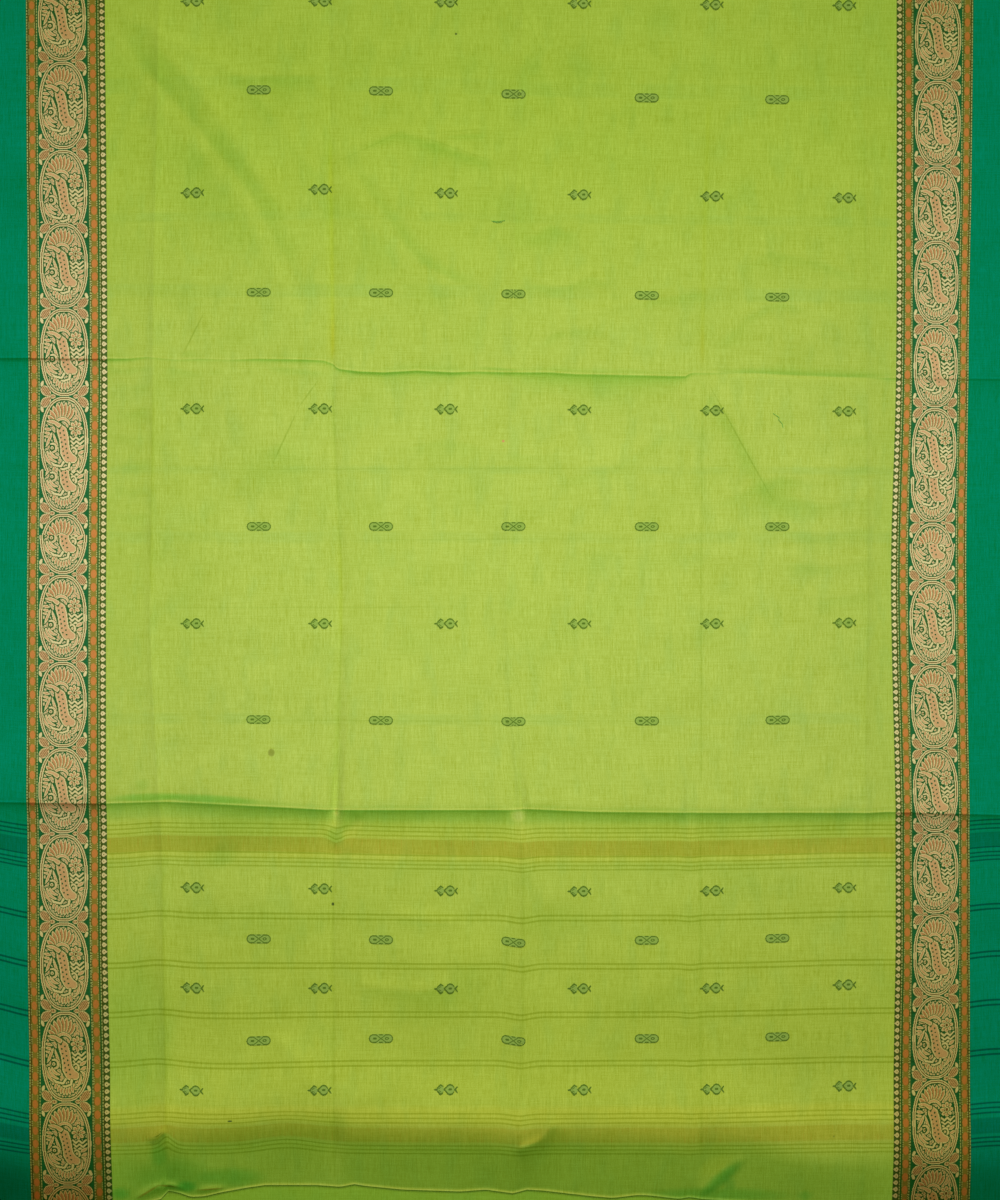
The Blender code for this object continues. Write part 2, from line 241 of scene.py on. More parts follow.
def rows_between(
    start: Array, stop: Array, after: Iterable, before: Iterable, spacing: float
) -> list[Array]:
    """Places along the cloth from one guide line up to the next, which isn't taken in.

    Args:
        start: The first line, at each column.
        stop: The second line, at each column.
        after: Steps from the first line, rising.
        before: Steps back from the second line, rising.
        spacing: About how far apart the rows between them lie.

    Returns:
        One array over the columns for each row.
    """
    after, before = [0.0, *after], list(before)
    first = start + after[-1]
    last = stop - (before[-1] if before else 0.0)
    count = max(1, round(float(np.mean(last - first)) / spacing))
    rows = [start + step for step in after[:-1]]
    rows += [mix(first, last, i / count) for i in range(count)]
    rows += [stop - step for step in reversed(before)]
    return rows


def mesh_object(name: str, points: Array, faces: Array) -> bpy.types.Object:
    """Makes an object of points in millimetres and faces with four corners."""
    mesh = bpy.data.meshes.new(name)
    mesh.from_pydata((points * MM).tolist(), [], faces.tolist())
    mesh.shade_smooth()
    made = bpy.data.objects.new(name, mesh)
    bpy.context.scene.collection.objects.link(made)
    return made


def add_uv(mesh: bpy.types.Mesh, name: str, per_point: Array) -> None:
    """Gives a mesh a UV map from one pair of values for each point."""
    corners = np.zeros(len(mesh.loops), np.int32)
    mesh.loops.foreach_get("vertex_index", corners)
    layer = mesh.uv_layers.new(name=name)
    layer.uv.foreach_set("vector", per_point[corners].astype(np.float32).ravel())


def add_tint(mesh: bpy.types.Mesh, per_point: Array) -> None:
    """Gives a mesh a tint from one colour for each point."""
    colour = np.ones((len(mesh.vertices), 4), np.float32)
    colour[:, :3] = per_point.reshape(-1, 3)
    layer = mesh.attributes.new("tint", "FLOAT_COLOR", "POINT")
    layer.data.foreach_set("color", colour.ravel())


# Shader maths

Number = Union["Wire", float]

# The borders' painted shade towards the cloth's two ends: its middle along the cloth, from and to
# how far away it grows, and its tone.
END_SHADE_MIDDLE = 110.0
END_SHADE_RUN = (90.0, 740.0)
END_SHADE_TONE = (0.68, 0.66, 0.36)


class Wire:
    """One shader value, which takes part in Python expressions."""

    def __init__(self, graph: "Graph", socket: bpy.types.NodeSocket) -> None:
        """Keeps the graph and the socket that gives the value."""
        self.graph = graph
        self.socket = socket

    def __add__(self, other: Number) -> "Wire":
        """This plus another value."""
        return self.graph.maths("ADD", self, other)

    __radd__ = __add__

    def __sub__(self, other: Number) -> "Wire":
        """This less another value."""
        return self.graph.maths("SUBTRACT", self, other)

    def __rsub__(self, other: Number) -> "Wire":
        """Another value less this."""
        return self.graph.maths("SUBTRACT", other, self)

    def __mul__(self, other: Number) -> "Wire":
        """This times another value."""
        return self.graph.maths("MULTIPLY", self, other)

    __rmul__ = __mul__

    def __truediv__(self, other: Number) -> "Wire":
        """This over another value."""
        return self.graph.maths("DIVIDE", self, other)

    def __abs__(self) -> "Wire":
        """How far this is from nothing."""
        return self.graph.maths("ABSOLUTE", self)

    def fraction(self) -> "Wire":
        """What is left of this above the whole number below it."""
        return self.graph.maths("FRACT", self)

    def least(self, other: Number) -> "Wire":
        """The smaller of this and another value."""
        return self.graph.maths("MINIMUM", self, other)


class Graph:
    """The nodes of one material."""

    def __init__(self, name: str) -> None:
        """Makes the material and keeps its shader."""
        self.material = bpy.data.materials.new(name)
        self.material.use_nodes = True
        self.tree = self.material.node_tree
        self.shader = self.tree.nodes["Principled BSDF"]

    def feed(self, socket: bpy.types.NodeSocket, value: object) -> None:
        """Sets a socket to a plain value, or links it to a wire."""
        if isinstance(value, Wire):
            self.tree.links.new(value.socket, socket)
        else:
            socket.default_value = value

    def add(self, kind: str, settings: dict, sockets: dict) -> bpy.types.Node:
        """Adds a node.

        Args:
            kind: The node's type.
            settings: Its settings, with a ramp's stops as places and colours under "stops".
            sockets: Values or wires for its inputs, by name or number.

        Returns:
            The node.
        """
        node = self.tree.nodes.new(kind)
        for name, value in settings.items():
            if name != "stops":
                setattr(node, name, value)
                continue
            elements = node.color_ramp.elements
            while len(elements) < len(value):
                elements.new(1.0)
            for element, (place, colour) in zip(elements, value):
                element.position = place
                element.color = colour
        for name, value in sockets.items():
            self.feed(node.inputs[name], value)
        return node

    def maths(self, operation: str, first: Number, second: Number = 0.0) -> Wire:
        """One Math node."""
        node = self.add("ShaderNodeMath", {"operation": operation}, {0: first, 1: second})
        return Wire(self, node.outputs[0])

    def smooth(self, value: Wire, low: float, high: float) -> Wire:
        """A share that rises softly from 0 at one value to 1 at another."""
        node = self.add(
            "ShaderNodeMapRange",
            {"interpolation_type": "SMOOTHSTEP"},
            {"Value": value, "From Min": low, "From Max": high},
        )
        return Wire(self, node.outputs[0])

    def pulse(self, value: Wire, centre: float, half: float, edge: float = 0.6) -> Wire:
        """A share that is 1 round a centre and falls to 0 at both sides."""
        return 1 - self.smooth(abs(value - centre), half - edge / 2, half + edge / 2)

    def blend(self, under: object, over: object, share: Number, how: str = "MIX") -> Wire:
        """Mixes two colours."""
        node = self.add(
            "ShaderNodeMix",
            {"data_type": "RGBA", "blend_type": how},
            {0: share, 6: under, 7: over},
        )
        return Wire(self, node.outputs[2])

    def dyed(self, colour: object, tone: object, share: Number = 1.0) -> Wire:
        """A colour times a tone, as far as a share says."""
        if isinstance(tone, tuple):
            tone = (*tone[:3], 1.0)
        return self.blend(colour, tone, share, "MULTIPLY")

    def pulses(self, value: Wire, stretches: Iterable) -> Wire:
        """The sum of pulses, each with a middle, a half length and a soft edge."""
        return sum(self.pulse(value, *stretch) for stretch in stretches)

    def slope(self) -> Wire:
        """How far the surface leans along the cloth. Below 0 it faces the striped end."""
        geometry = self.add("ShaderNodeNewGeometry", {}, {})
        return self.parts(Wire(self, geometry.outputs["Normal"]))[1]

    def vector(self, x: Number, y: Number, z: Number) -> Wire:
        """Three values as one vector."""
        node = self.add("ShaderNodeCombineXYZ", {}, {0: x, 1: y, 2: z})
        return Wire(self, node.outputs[0])

    def parts(self, vector: Wire) -> tuple[Wire, Wire, Wire]:
        """A vector's three values."""
        node = self.add("ShaderNodeSeparateXYZ", {}, {0: vector})
        return tuple(Wire(self, output) for output in node.outputs)

    def noise(self, x: Number, y: Number, seed: float, detail: float = 2.0) -> Wire:
        """Soft noise about 0.5 over two values."""
        node = self.add(
            "ShaderNodeTexNoise",
            {"noise_dimensions": "3D"},
            {"Vector": self.vector(x, y, seed), "Scale": 1.0, "Detail": detail},
        )
        return Wire(self, node.outputs[0])

    def ramp(self, value: Wire, stops: Iterable) -> Wire:
        """A colour that follows a value through stops."""
        node = self.add("ShaderNodeValToRGB", {"stops": list(stops)}, {0: value})
        return Wire(self, node.outputs[0])

    def attribute(self, name: str, output: str = "Fac") -> Wire:
        """A value or a colour that the mesh holds."""
        node = self.add("ShaderNodeAttribute", {"attribute_name": name}, {})
        return Wire(self, node.outputs[output])

    def cloth_place(self) -> tuple[Wire, Wire]:
        """The place in the cloth, across and along, in millimetres."""
        node = self.add("ShaderNodeUVMap", {"uv_map": "cloth"}, {})
        u, v, _ = self.parts(Wire(self, node.outputs[0]))
        return u * 1000.0, v * 1000.0

    def end_shaded(self, colour: Wire, v: Wire) -> Wire:
        """A colour of the borders, with painted shade that makes it browner and darker towards the
        cloth's two ends.
        """
        away = self.smooth(abs(v - END_SHADE_MIDDLE), *END_SHADE_RUN)
        return self.dyed(colour, END_SHADE_TONE, away)

    def finish(self, colour: object, roughness: Number, height: Wire, depth: float) -> None:
        """Feeds the shader with a colour, a roughness and a height in millimetres."""
        bump = self.add(
            "ShaderNodeBump", {}, {"Height": height, "Distance": depth * MM, "Strength": 1.0}
        )
        self.feed(self.shader.inputs["Base Color"], colour)
        self.feed(self.shader.inputs["Roughness"], roughness)
        self.feed(self.shader.inputs["Normal"], Wire(self, bump.outputs[0]))
        self.feed(self.shader.inputs["Specular IOR Level"], 0.0)


@dataclass(frozen=True)
class StainAndHighlightSpot:
    """A small spot on the top layer: a stain, or with a pale colour a painted highlight at a
    crease's knot.
    """

    x: float
    y: float
    half_width: float
    half_length: float
    colour: Colour
    strength: float

    def paint(self, graph: Graph, under: Wire, u: Wire, v: Wire, cloth: "FoldedCloth") -> Wire:
        """Paints the spot over a colour, at its place in the weave."""
        at = cloth.woven(self.x, self.y)
        over, up = (u - at[0]) / self.half_width, (v - at[1]) / self.half_length
        share = (1 - graph.smooth(over * over + up * up, 0.35, 1.3)) * self.strength
        return graph.blend(under, self.colour, share)


@dataclass(frozen=True)
class LineMark:
    """A sharp line on the top layer, which thins out at both ends: painted shade along a crease, a
    painted highlight with GLINT, and faint weft bars.
    """

    start: Point
    stop: Point
    tint: Colour = (0.80, 0.84, 0.66, 1.0)
    half_width: float = 1.0
    how: str = "MULTIPLY"

    def paint(self, graph: Graph, under: Wire, u: Wire, v: Wire, cloth: "FoldedCloth") -> Wire:
        """Tints a colour along the line, at its place in the weave."""
        (x0, y0), (x1, y1) = cloth.woven(*self.start), cloth.woven(*self.stop)
        half = math.dist((x0, y0), (x1, y1)) / 2
        c, s = (x1 - x0) / half / 2, (y1 - y0) / half / 2
        over, up = u - (x0 + x1) / 2, v - (y0 + y1) / 2
        along, off = (over * c + up * s) / half, (up * c - over * s) / self.half_width
        share = 1 - graph.smooth(along * along + off * off, 0.0, 1.3)
        return graph.blend(under, self.tint, share, self.how)


FAINT = (0.92, 0.94, 0.86, 1.0)
GLINT = linear(176, 166, 48)
MARKS = (
    StainAndHighlightSpot(-246, -171, 3.6, 4.6, linear(120, 125, 40), 0.6),
    StainAndHighlightSpot(-47, 605, 1.4, 1.4, linear(70, 90, 40), 0.8),
    StainAndHighlightSpot(-180, -335, 1.6, 1.8, linear(50, 70, 40), 0.85),
    StainAndHighlightSpot(4, 165, 1.9, 1.4, linear(215, 150, 100), 0.8),
    StainAndHighlightSpot(360, -584, 0.8, 1.3, linear(100, 120, 45), 0.5),
    StainAndHighlightSpot(-290, -567, 2.8, 1.0, linear(45, 75, 35), 0.85),
    StainAndHighlightSpot(-458, -381, 2.6, 3.0, linear(60, 74, 40), 0.75),
    StainAndHighlightSpot(-465, 246, 1.6, 1.6, linear(60, 74, 40), 0.6),
    # The next two are painted highlight: pale spots where the lower crease's shade breaks at its
    # knots.
    StainAndHighlightSpot(-176, -235, 1.6, 3.0, linear(178, 192, 72), 0.9),
    StainAndHighlightSpot(20, -238, 6.5, 6.0, linear(168, 194, 80), 0.7),
    # Painted shade along the creases and wrinkles:
    LineMark((221, 236), (300, 92)),
    LineMark((-195, 232), (-218, 200)),
    LineMark((-216, 203), (-248, 134)),
    LineMark((-318, 306), (-344, 254)),
    LineMark((-183, 463), (-100, 502), FAINT),
    LineMark((-102, 500), (6, 463), FAINT),
    LineMark((22, 641), (50, 575), FAINT),
    LineMark((50, 576), (87, 490), FAINT),
    LineMark((37, 290), (25, 250), FAINT, 1.6),
    LineMark((-86, 496), (-10, 503), FAINT),
    # Faint weft bars across the body:
    LineMark((-377, 134), (216, 136), FAINT),
    LineMark((-172, 58), (163, 60), FAINT),
    LineMark((-430, -15), (0, -14), FAINT),
    LineMark((-380, -136), (216, -137), FAINT),
    # Painted shade in the pinch of the stripes:
    LineMark((-371, -584), (-362, -578), (0.55, 0.62, 0.4, 1.0), 0.9),
    # Painted highlights along the bent edge at the striped end:
    LineMark((-393, -654), (-366, -637), GLINT, 1.5, "MIX"),
    LineMark((-370, -638), (-346, -641), GLINT, 1.4, "MIX"),
    LineMark((-328, -644), (-297, -642), GLINT, 1.1, "MIX"),
)


@dataclass(frozen=True)
class LightPatch:
    """A soft patch of painted light on the top layer: darker or greener where it paints shade,
    lighter where it paints a highlight.
    """

    x: float
    y: float
    half_width: float
    half_length: float
    colour: Tone
    turn: float = 0.0

    def share(self, x: Array, y: Array) -> Array:
        """How much of the tint each point takes."""
        half = (self.half_width, self.half_length)
        over, up = turned(x, y, (self.x, self.y), half, self.turn)
        return 1 - ease(over * over + up * up)


# Painted light on the top layer: greener shade under the creases and along the striped end, darker
# corners and panels, and lighter knots and a lit wedge.
PAINTED_LIGHT_PATCHES = (
    LightPatch(-395, -480, 55, 105, (0.82, 0.93, 0.92)),
    LightPatch(-350, -630, 50, 30, (0.66, 0.90, 0.82)),
    LightPatch(-405, -640, 38, 46, (0.78, 0.92, 0.85)),
    LightPatch(-367, -604, 12, 16, (0.60, 0.88, 0.80)),
    LightPatch(-338, -640, 14, 8, (0.45, 0.88, 0.85)),
    LightPatch(-410, -648, 14, 9, (0.50, 0.85, 0.80)),
    LightPatch(-290, -630, 44, 14, (0.62, 0.90, 0.82)),
    LightPatch(235, -650, 95, 12, (0.60, 0.88, 0.80)),
    LightPatch(240, -630, 9, 34, (0.50, 0.86, 0.80), -49),
    LightPatch(249, -637, 9, 9, (0.70, 0.90, 0.90)),
    LightPatch(330, -650, 8, 8, (0.65, 0.90, 0.85)),
    LightPatch(232, -616, 24, 12, (1.14, 1.06, 1.0), 35),
    LightPatch(-560, -650, 90, 60, (0.80, 0.60, 0.50)),
    LightPatch(-300, -262, 130, 28, (0.87, 0.94, 0.92)),
    LightPatch(-300, -282, 26, 16, (0.86, 0.94, 0.90), 30),
    LightPatch(310, -258, 110, 20, (0.93, 0.97, 0.95)),
    LightPatch(-177, -262, 13, 14, (0.72, 0.88, 0.80)),
    LightPatch(-378, -219, 46, 6, (0.66, 0.92, 0.72), 2),
    LightPatch(-312, -221, 64, 6, (0.64, 0.91, 0.72), -3),
    LightPatch(-385, -206, 9, 9, (0.84, 0.94, 0.86)),
    LightPatch(-176, -236, 5, 5, (1.35, 1.14, 1.5)),
    LightPatch(20, -239, 9, 9, (1.32, 1.13, 1.5)),
    LightPatch(-462, -672, 62, 48, (0.80, 0.66, 0.50)),
    LightPatch(468, -676, 60, 40, (0.86, 0.76, 0.62)),
    LightPatch(0, -606, 380, 24, (0.95, 0.95, 0.92)),
    LightPatch(430, 640, 150, 140, (0.92, 0.96, 0.94)),
    LightPatch(430, 250, 90, 260, (0.96, 0.98, 0.95)),
    LightPatch(430, -80, 90, 180, (0.96, 0.98, 0.93)),
    LightPatch(-370, 60, 90, 260, (0.97, 0.99, 0.93)),
    LightPatch(-270, 500, 40, 180, (0.95, 0.97, 0.95), -32),
)


def painted_light_at(x: Array, y: Array) -> Array:
    """The soft patches' painted light and shade at points of the top layer."""
    colour = np.ones((*x.shape, 3))
    for tint in PAINTED_LIGHT_PATCHES:
        colour *= mix(1.0, np.array(tint.colour), tint.share(x, y)[..., None])
    return colour


@dataclass(frozen=True)
class Slubs:
    """The unevenness of the ground's yarns, each a soft noise about 0.5."""

    warp: Wire
    weft: Wire
    short: Wire
    bands: Wire
    patch: Wire
    drift: Wire
    grain: Wire
    rib: Wire

    @classmethod
    def over(cls, graph: Graph, u: Wire, v: Wire) -> "Slubs":
        """Makes the noises over the place in the cloth."""
        return cls(
            warp=graph.noise(u * 0.8, v * 0.03, 1.0, 3.0),
            weft=graph.noise(u * 0.03, v * 0.8, 5.0, 3.0),
            short=graph.noise(u * 0.9, v * 0.12, 21.0, 2.0),
            bands=graph.noise(u * 0.004, v * 0.07, 25.0, 2.0),
            patch=graph.noise(u * 0.02, v * 0.02, 9.0, 2.0),
            drift=graph.noise(u * 0.05, v * 0.02, 12.0, 2.0),
            grain=graph.noise(u * 0.95, v * 0.95, 15.0, 2.0),
            rib=graph.noise(u * 0.8, v * 0.05, 31.0, 3.0),
        )


@dataclass(frozen=True)
class GroundCotton:
    """The plain-weave ground: lime body, woven stripes, dark border grounds and selvedges.

    A stretch along the cloth is given by its middle, its half length and its soft edge.
    """

    lime: Colour = linear(181, 204, 84)
    leaf_lime: Colour = linear(156, 196, 92)
    honey_lime: Colour = linear(190, 200, 66)
    selvedge: Colour = linear(3, 141, 94)
    selvedge_line: Colour = linear(2, 94, 66)
    # Painted shade by slope: the cloth's tint by how far it leans towards the striped end, which
    # faces away from the key light, or away from that end.
    slope_shade: tuple = (
        (-0.625, (0.54, 1.0, 0.50)), (-0.447, (0.66, 1.0, 0.55)), (-0.2425, (0.77, 1.0, 0.72)),
        (-0.0995, (0.90, 1.0, 0.90)), (0.0, (1.0, 1.0, 1.0)), (0.25, (1.0, 0.96, 1.0)),
    )
    # The border's grounds from its outer edge to the body: place and colour.
    zones: tuple = (
        (0.0, linear(20, 104, 62)), (0.7, linear(98, 113, 50)), (2.2, linear(95, 90, 30)),
        (3.0, linear(95, 90, 30)), (3.3, linear(172, 140, 66)), (9.7, linear(172, 140, 66)),
        (10.1, linear(80, 100, 35)), (11.2, linear(66, 112, 52)), (12.8, linear(38, 115, 62)),
        (66.2, linear(40, 112, 60)), (67.0, linear(70, 113, 54)), (68.5, linear(95, 90, 25)),
        (69.0, linear(95, 90, 25)), (69.3, linear(172, 140, 66)), (75.9, linear(172, 140, 66)),
        (76.4, linear(52, 104, 42)), (77.6, linear(66, 116, 50)), (79.2, linear(90, 92, 25)),
        (80.8, linear(82, 105, 42)), (84.0, linear(84, 110, 46)), (90.0, linear(84, 110, 46)),
    )
    # Groups of thin weft lines in the striped end: middle, pitch and count.
    line_groups: tuple = (
        (-257.9, 4.8, 3), (-293.5, 4.32, 3), (-564.2, 4.95, 3), (-598.6, 4.35, 3),
    )
    # One thin line alone, as a stretch.
    single_line: tuple = (-283.6, 0.9, 0.8)
    # Pairs of lines that repeat evenly between the bands: where one pair lies, the pitch, how
    # far each line lies from its pair's middle, its half length and soft edge, and the whole
    # stretch's middle and half length.
    pair_place: float = -350.0
    pair_pitch: float = 52.1
    pair_half: float = 2.65
    pair_line: tuple = (0.95, 0.9)
    pair_stretch: tuple = (-427.5, 92.0)
    pair_strength: float = 1.3
    line_limit: float = 1.25
    line_tone: Tone = (0.76, 0.78, 0.50)
    # The two broad weft bands, and the tones of what lies round them.
    bands: tuple = ((-274.6, 7.9, 1.2), (-582.3, 7.9, 2.4))
    band_tone: Tone = (0.92, 0.85, 0.66)
    rust_tone: Tone = (1.04, 0.86, 0.80)
    ruddy_stretches: tuple = ((-268.0, 21.0, 9.0), (-572.0, 20.0, 9.0))
    ruddy_tone: Tone = (1.13, 1.03, 0.95)
    band_surrounds: tuple = (
        ((-582.3, 12.0, 8.0), (0.88, 0.89, 0.94)), ((-274.6, 9.0, 4.0), (0.90, 0.89, 0.84)),
    )
    # Greener weft stretches of the body: middle and half length.
    leaf_stretches: tuple = ((544, 8), (406, 5), (325, 7), (134, 4), (61, 6), (-136, 6))
    leaf_edge: float = 5.0
    # Tones for the body's slow changes along the cloth, and for the dark grounds' lines. The body's
    # less blue tone towards its ends is painted light, the lower layer under the striped end takes
    # painted shade, and crests and the hem's edge take painted highlight, the crests partly wear.
    body_end_light_tone: Tone = (1.0, 1.0, 0.67)
    high_tone: Tone = (0.93, 1.0, 1.0)
    under_end_shade: tuple = (2080.0, 60.0, 20.0)
    under_end_shade_tone: Tone = (0.60, 0.82, 0.55)
    low_selvedge_tone: Tone = (0.74, 0.74, 0.74)
    ground_line_tone: Tone = (0.7, 0.72, 0.6)
    highlight_and_wear_tone: Tone = (1.5, 1.25, 1.9)
    ramp_width: float = 90.0
    body_edge: tuple = (85.7, 86.5)
    selvedge_edge: tuple = (-0.3, 0.4)
    bump: float = 0.12

    def lines(self, graph: Graph, v: Wire, centre: float, pitch: float, count: int) -> Wire:
        """Evenly spaced weft lines round a centre."""
        away = v - centre
        shift = 0.5 if count % 2 else 0.0
        near = abs((away / pitch + shift).fraction() - 0.5) * pitch
        return (1 - graph.smooth(near, 0.35, 1.35)) * graph.pulse(away, 0.0, pitch * count / 2)

    def line_mask(self, graph: Graph, v: Wire) -> Wire:
        """Where the thin weft lines of the striped end run."""
        mask = sum(self.lines(graph, v, *group) for group in self.line_groups)
        mask = mask + graph.pulse(v, *self.single_line)
        turns = (v - self.pair_place) / self.pair_pitch
        place = abs((turns + 0.5).fraction() - 0.5) * self.pair_pitch
        pairs = graph.pulse(place, self.pair_half, *self.pair_line)
        pairs = pairs * graph.pulse(v, *self.pair_stretch) * self.pair_strength
        return (mask + pairs).least(self.line_limit)

    def _outward(self, u: Wire) -> Wire:
        """How far inside the nearer border's outer edge a place lies, in the border's own width."""
        left, right = (BORDER_PLACES[side] for side in Side)
        return ((u - left[0]) * (BORDER_WIDTH / (left[1] - left[0]))).least(
            (right[0] - u) * (BORDER_WIDTH / (right[0] - right[1]))
        )

    def _painted_slope_shade(self, graph: Graph) -> Wire:
        """The painted shade that the cloth takes from its slope."""
        low, high = self.slope_shade[0][0], self.slope_shade[-1][0]
        stops = [((place - low) / (high - low), (*tone, 1.0)) for place, tone in self.slope_shade]
        return graph.ramp((graph.slope() - low) / (high - low), stops)

    def _body(self, graph: Graph, slubs: Slubs, v: Wire, line: Wire, band: Wire) -> Wire:
        """The lime body's colour, with its woven lines and bands."""
        body = graph.blend(
            self.lime, self.leaf_lime, graph.smooth(slubs.drift, 0.45, 0.75) * 0.25
        )
        body = graph.blend(body, self.honey_lime, graph.smooth(slubs.warp, 0.52, 0.8) * 0.2)
        for place, half in self.leaf_stretches:
            share = graph.pulse(v, float(place), float(half), self.leaf_edge)
            share = share * graph.smooth(slubs.patch, 0.3, 0.7)
            body = graph.blend(body, self.leaf_lime, share * 0.28)
        body = graph.dyed(body, self.ruddy_tone, graph.pulses(v, self.ruddy_stretches))
        body = graph.dyed(body, self.band_tone, band * (0.3 + slubs.rib * 1.4))
        body = graph.dyed(body, self.rust_tone, band * graph.smooth(slubs.rib, 0.56, 0.74))
        for stretch, tone in self.band_surrounds:
            body = graph.dyed(body, tone, graph.pulse(v, *stretch))
        body = graph.dyed(body, self.line_tone, line)
        # Painted light: the body is less blue towards its two ends, away from the brightest light
        # in the middle.
        body = graph.dyed(body, self.body_end_light_tone, graph.smooth(abs(v - 20.0), 150.0, 520.0))
        high = graph.smooth(v, 150.0, 560.0) * graph.pulse(v, 400.0, 310.0, 10.0)
        body = graph.dyed(body, self.high_tone, high)
        # Painted shade on the lower layer where it shows under the striped end.
        return graph.dyed(body, self.under_end_shade_tone, graph.pulse(v, *self.under_end_shade))

    def _selvedge(self, graph: Graph, v: Wire, line: Wire, band: Wire) -> Wire:
        """The selvedge's colour, which is darker at the striped end."""
        stripes = (line + band * 0.5).least(1.0)
        selvedge = graph.blend(self.selvedge, self.selvedge_line, stripes)
        low = (1 - graph.smooth(v, -650.0, -560.0)) * graph.smooth(v, -720.0, -700.0)
        return graph.dyed(selvedge, self.low_selvedge_tone, low)

    def _border(self, graph: Graph, outward: Wire, v: Wire, line: Wire) -> Wire:
        """The colour of the border's ground."""
        stops = [(place / self.ramp_width, colour) for place, colour in self.zones]
        ground = graph.ramp(outward / self.ramp_width, stops)
        ground = graph.dyed(ground, self.ground_line_tone, line * 0.6)
        # Painted shade towards the cloth's two ends.
        return graph.end_shaded(ground, v)

    def _tones(self, graph: Graph, slubs: Slubs) -> Wire:
        """The yarns' light and dark, stronger in blue."""
        tone = (slubs.warp - 0.5) * 0.42 + (slubs.weft - 0.5) * 0.28
        tone = tone + (slubs.short - 0.5) * 0.36
        tone = tone + (slubs.patch - 0.5) * 0.10 + (slubs.grain - 0.5) * 0.42
        tone = tone + (slubs.bands - 0.5) * 0.06
        return graph.vector(1 + tone * 0.95, 1 + tone * 0.95, 1 + tone * 2.7)

    def material(self, cloth: "FoldedCloth") -> bpy.types.Material:
        """Makes the material.

        Args:
            cloth: The cloth, which knows where its top layer's points lie in the weave.

        Returns:
            The ground's material, painted by the place in the cloth.
        """
        graph = Graph("ground_cotton")
        u, v = graph.cloth_place()
        outward, slubs = self._outward(u), Slubs.over(graph, u, v)
        line, band = self.line_mask(graph, v), graph.pulses(v, self.bands)
        body = self._body(graph, slubs, v, line, band)
        for mark in MARKS:
            body = mark.paint(graph, body, u, v, cloth)
        colour = graph.blend(
            self._border(graph, outward, v, line), body, graph.smooth(outward, *self.body_edge)
        )
        in_selvedge = 1 - graph.smooth(outward, *self.selvedge_edge)
        colour = graph.blend(colour, self._selvedge(graph, v, line, band), in_selvedge)
        # Painted shade: slopes that face the striped end, away from the key light, turn darker and
        # greener.
        colour = graph.dyed(colour, self._painted_slope_shade(graph))
        # Painted highlight along the hem's edge and the creases' crests, which are partly pale from
        # wear.
        colour = graph.dyed(colour, self.highlight_and_wear_tone, graph.attribute("pressed"))
        # Painted light and shade from the soft patches, with the rubs and painted crease shade
        # along the lines.
        colour = graph.dyed(colour, graph.attribute("tint", "Color"))
        graph.finish(
            graph.dyed(colour, self._tones(graph, slubs)),
            0.86 + (slubs.grain - 0.5) * 0.2,
            slubs.warp * 0.5 + slubs.weft * 0.35 + slubs.grain * 0.3,
            self.bump,
        )
        return graph.material


@dataclass(frozen=True)
class YarnFinish:
    """A cotton yarn that floats over the ground."""

    name: str
    colour: Colour
    shade: Colour
    variation: float = 0.3
    takes_end_shade: bool = True
    slope_shade_tone: Tone = (0.66, 0.55, 0.42)
    bump: float = 0.08

    def material(self) -> bpy.types.Material:
        """Makes the yarn's material, which varies from thread to thread and takes painted shade on
        slopes.
        """
        graph = Graph(self.name)
        u, v = graph.cloth_place()
        thread = graph.noise(u * 1.9, v * 0.12, 3.0, 2.0)
        wear = graph.noise(u * 0.06, v * 0.06, 8.0, 2.0)
        twist = graph.noise(u * 1.2, v * 1.4, 6.0, 1.0)
        share = graph.smooth(thread * 0.6 + wear * 0.4, 0.35, 0.7) * self.variation * 2
        colour = graph.blend(self.colour, self.shade, share)
        # Painted shade on slopes that face the striped end, away from the key light.
        colour = graph.dyed(
            colour, self.slope_shade_tone, graph.smooth(graph.slope() * -1.0, 0.05, 0.55)
        )
        # The borders' yarns take the painted shade towards the cloth's two ends.
        if self.takes_end_shade:
            colour = graph.end_shaded(colour, v)
        # Painted light and shade from the patches under the yarn.
        colour = graph.dyed(colour, graph.attribute("tint", "Color"))
        graph.finish(colour, 0.7 + (thread - 0.5) * 0.2, twist, self.bump)
        return graph.material


YARN_FINISHES = {
    Yarn.CREAM: YarnFinish("cream_yarn", linear(246, 232, 168), linear(232, 212, 148)),
    Yarn.TAN: YarnFinish("tan_yarn", linear(232, 188, 132), linear(216, 172, 116)),
    Yarn.SAND: YarnFinish("sand_yarn", linear(212, 156, 100), linear(196, 142, 88)),
    Yarn.OLIVE: YarnFinish("olive_yarn", linear(88, 118, 54), linear(78, 110, 50)),
    Yarn.RUSSET: YarnFinish("russet_yarn", linear(130, 104, 46), linear(114, 92, 40)),
    Yarn.ORANGE: YarnFinish("orange_yarn", linear(222, 146, 76), linear(208, 130, 64)),
    Yarn.GOLD: YarnFinish("gold_yarn", linear(158, 144, 60), linear(144, 132, 50)),
    Yarn.PALE: YarnFinish("pale_yarn", linear(196, 206, 130), linear(172, 188, 108)),
    Yarn.GREEN: YarnFinish(
        "leaf_green_yarn", linear(94, 126, 38), linear(106, 138, 44), takes_end_shade=False
    ),
    Yarn.MOSS: YarnFinish("moss_yarn", linear(152, 184, 80), linear(156, 188, 76), takes_end_shade=False),
}


# The sheet


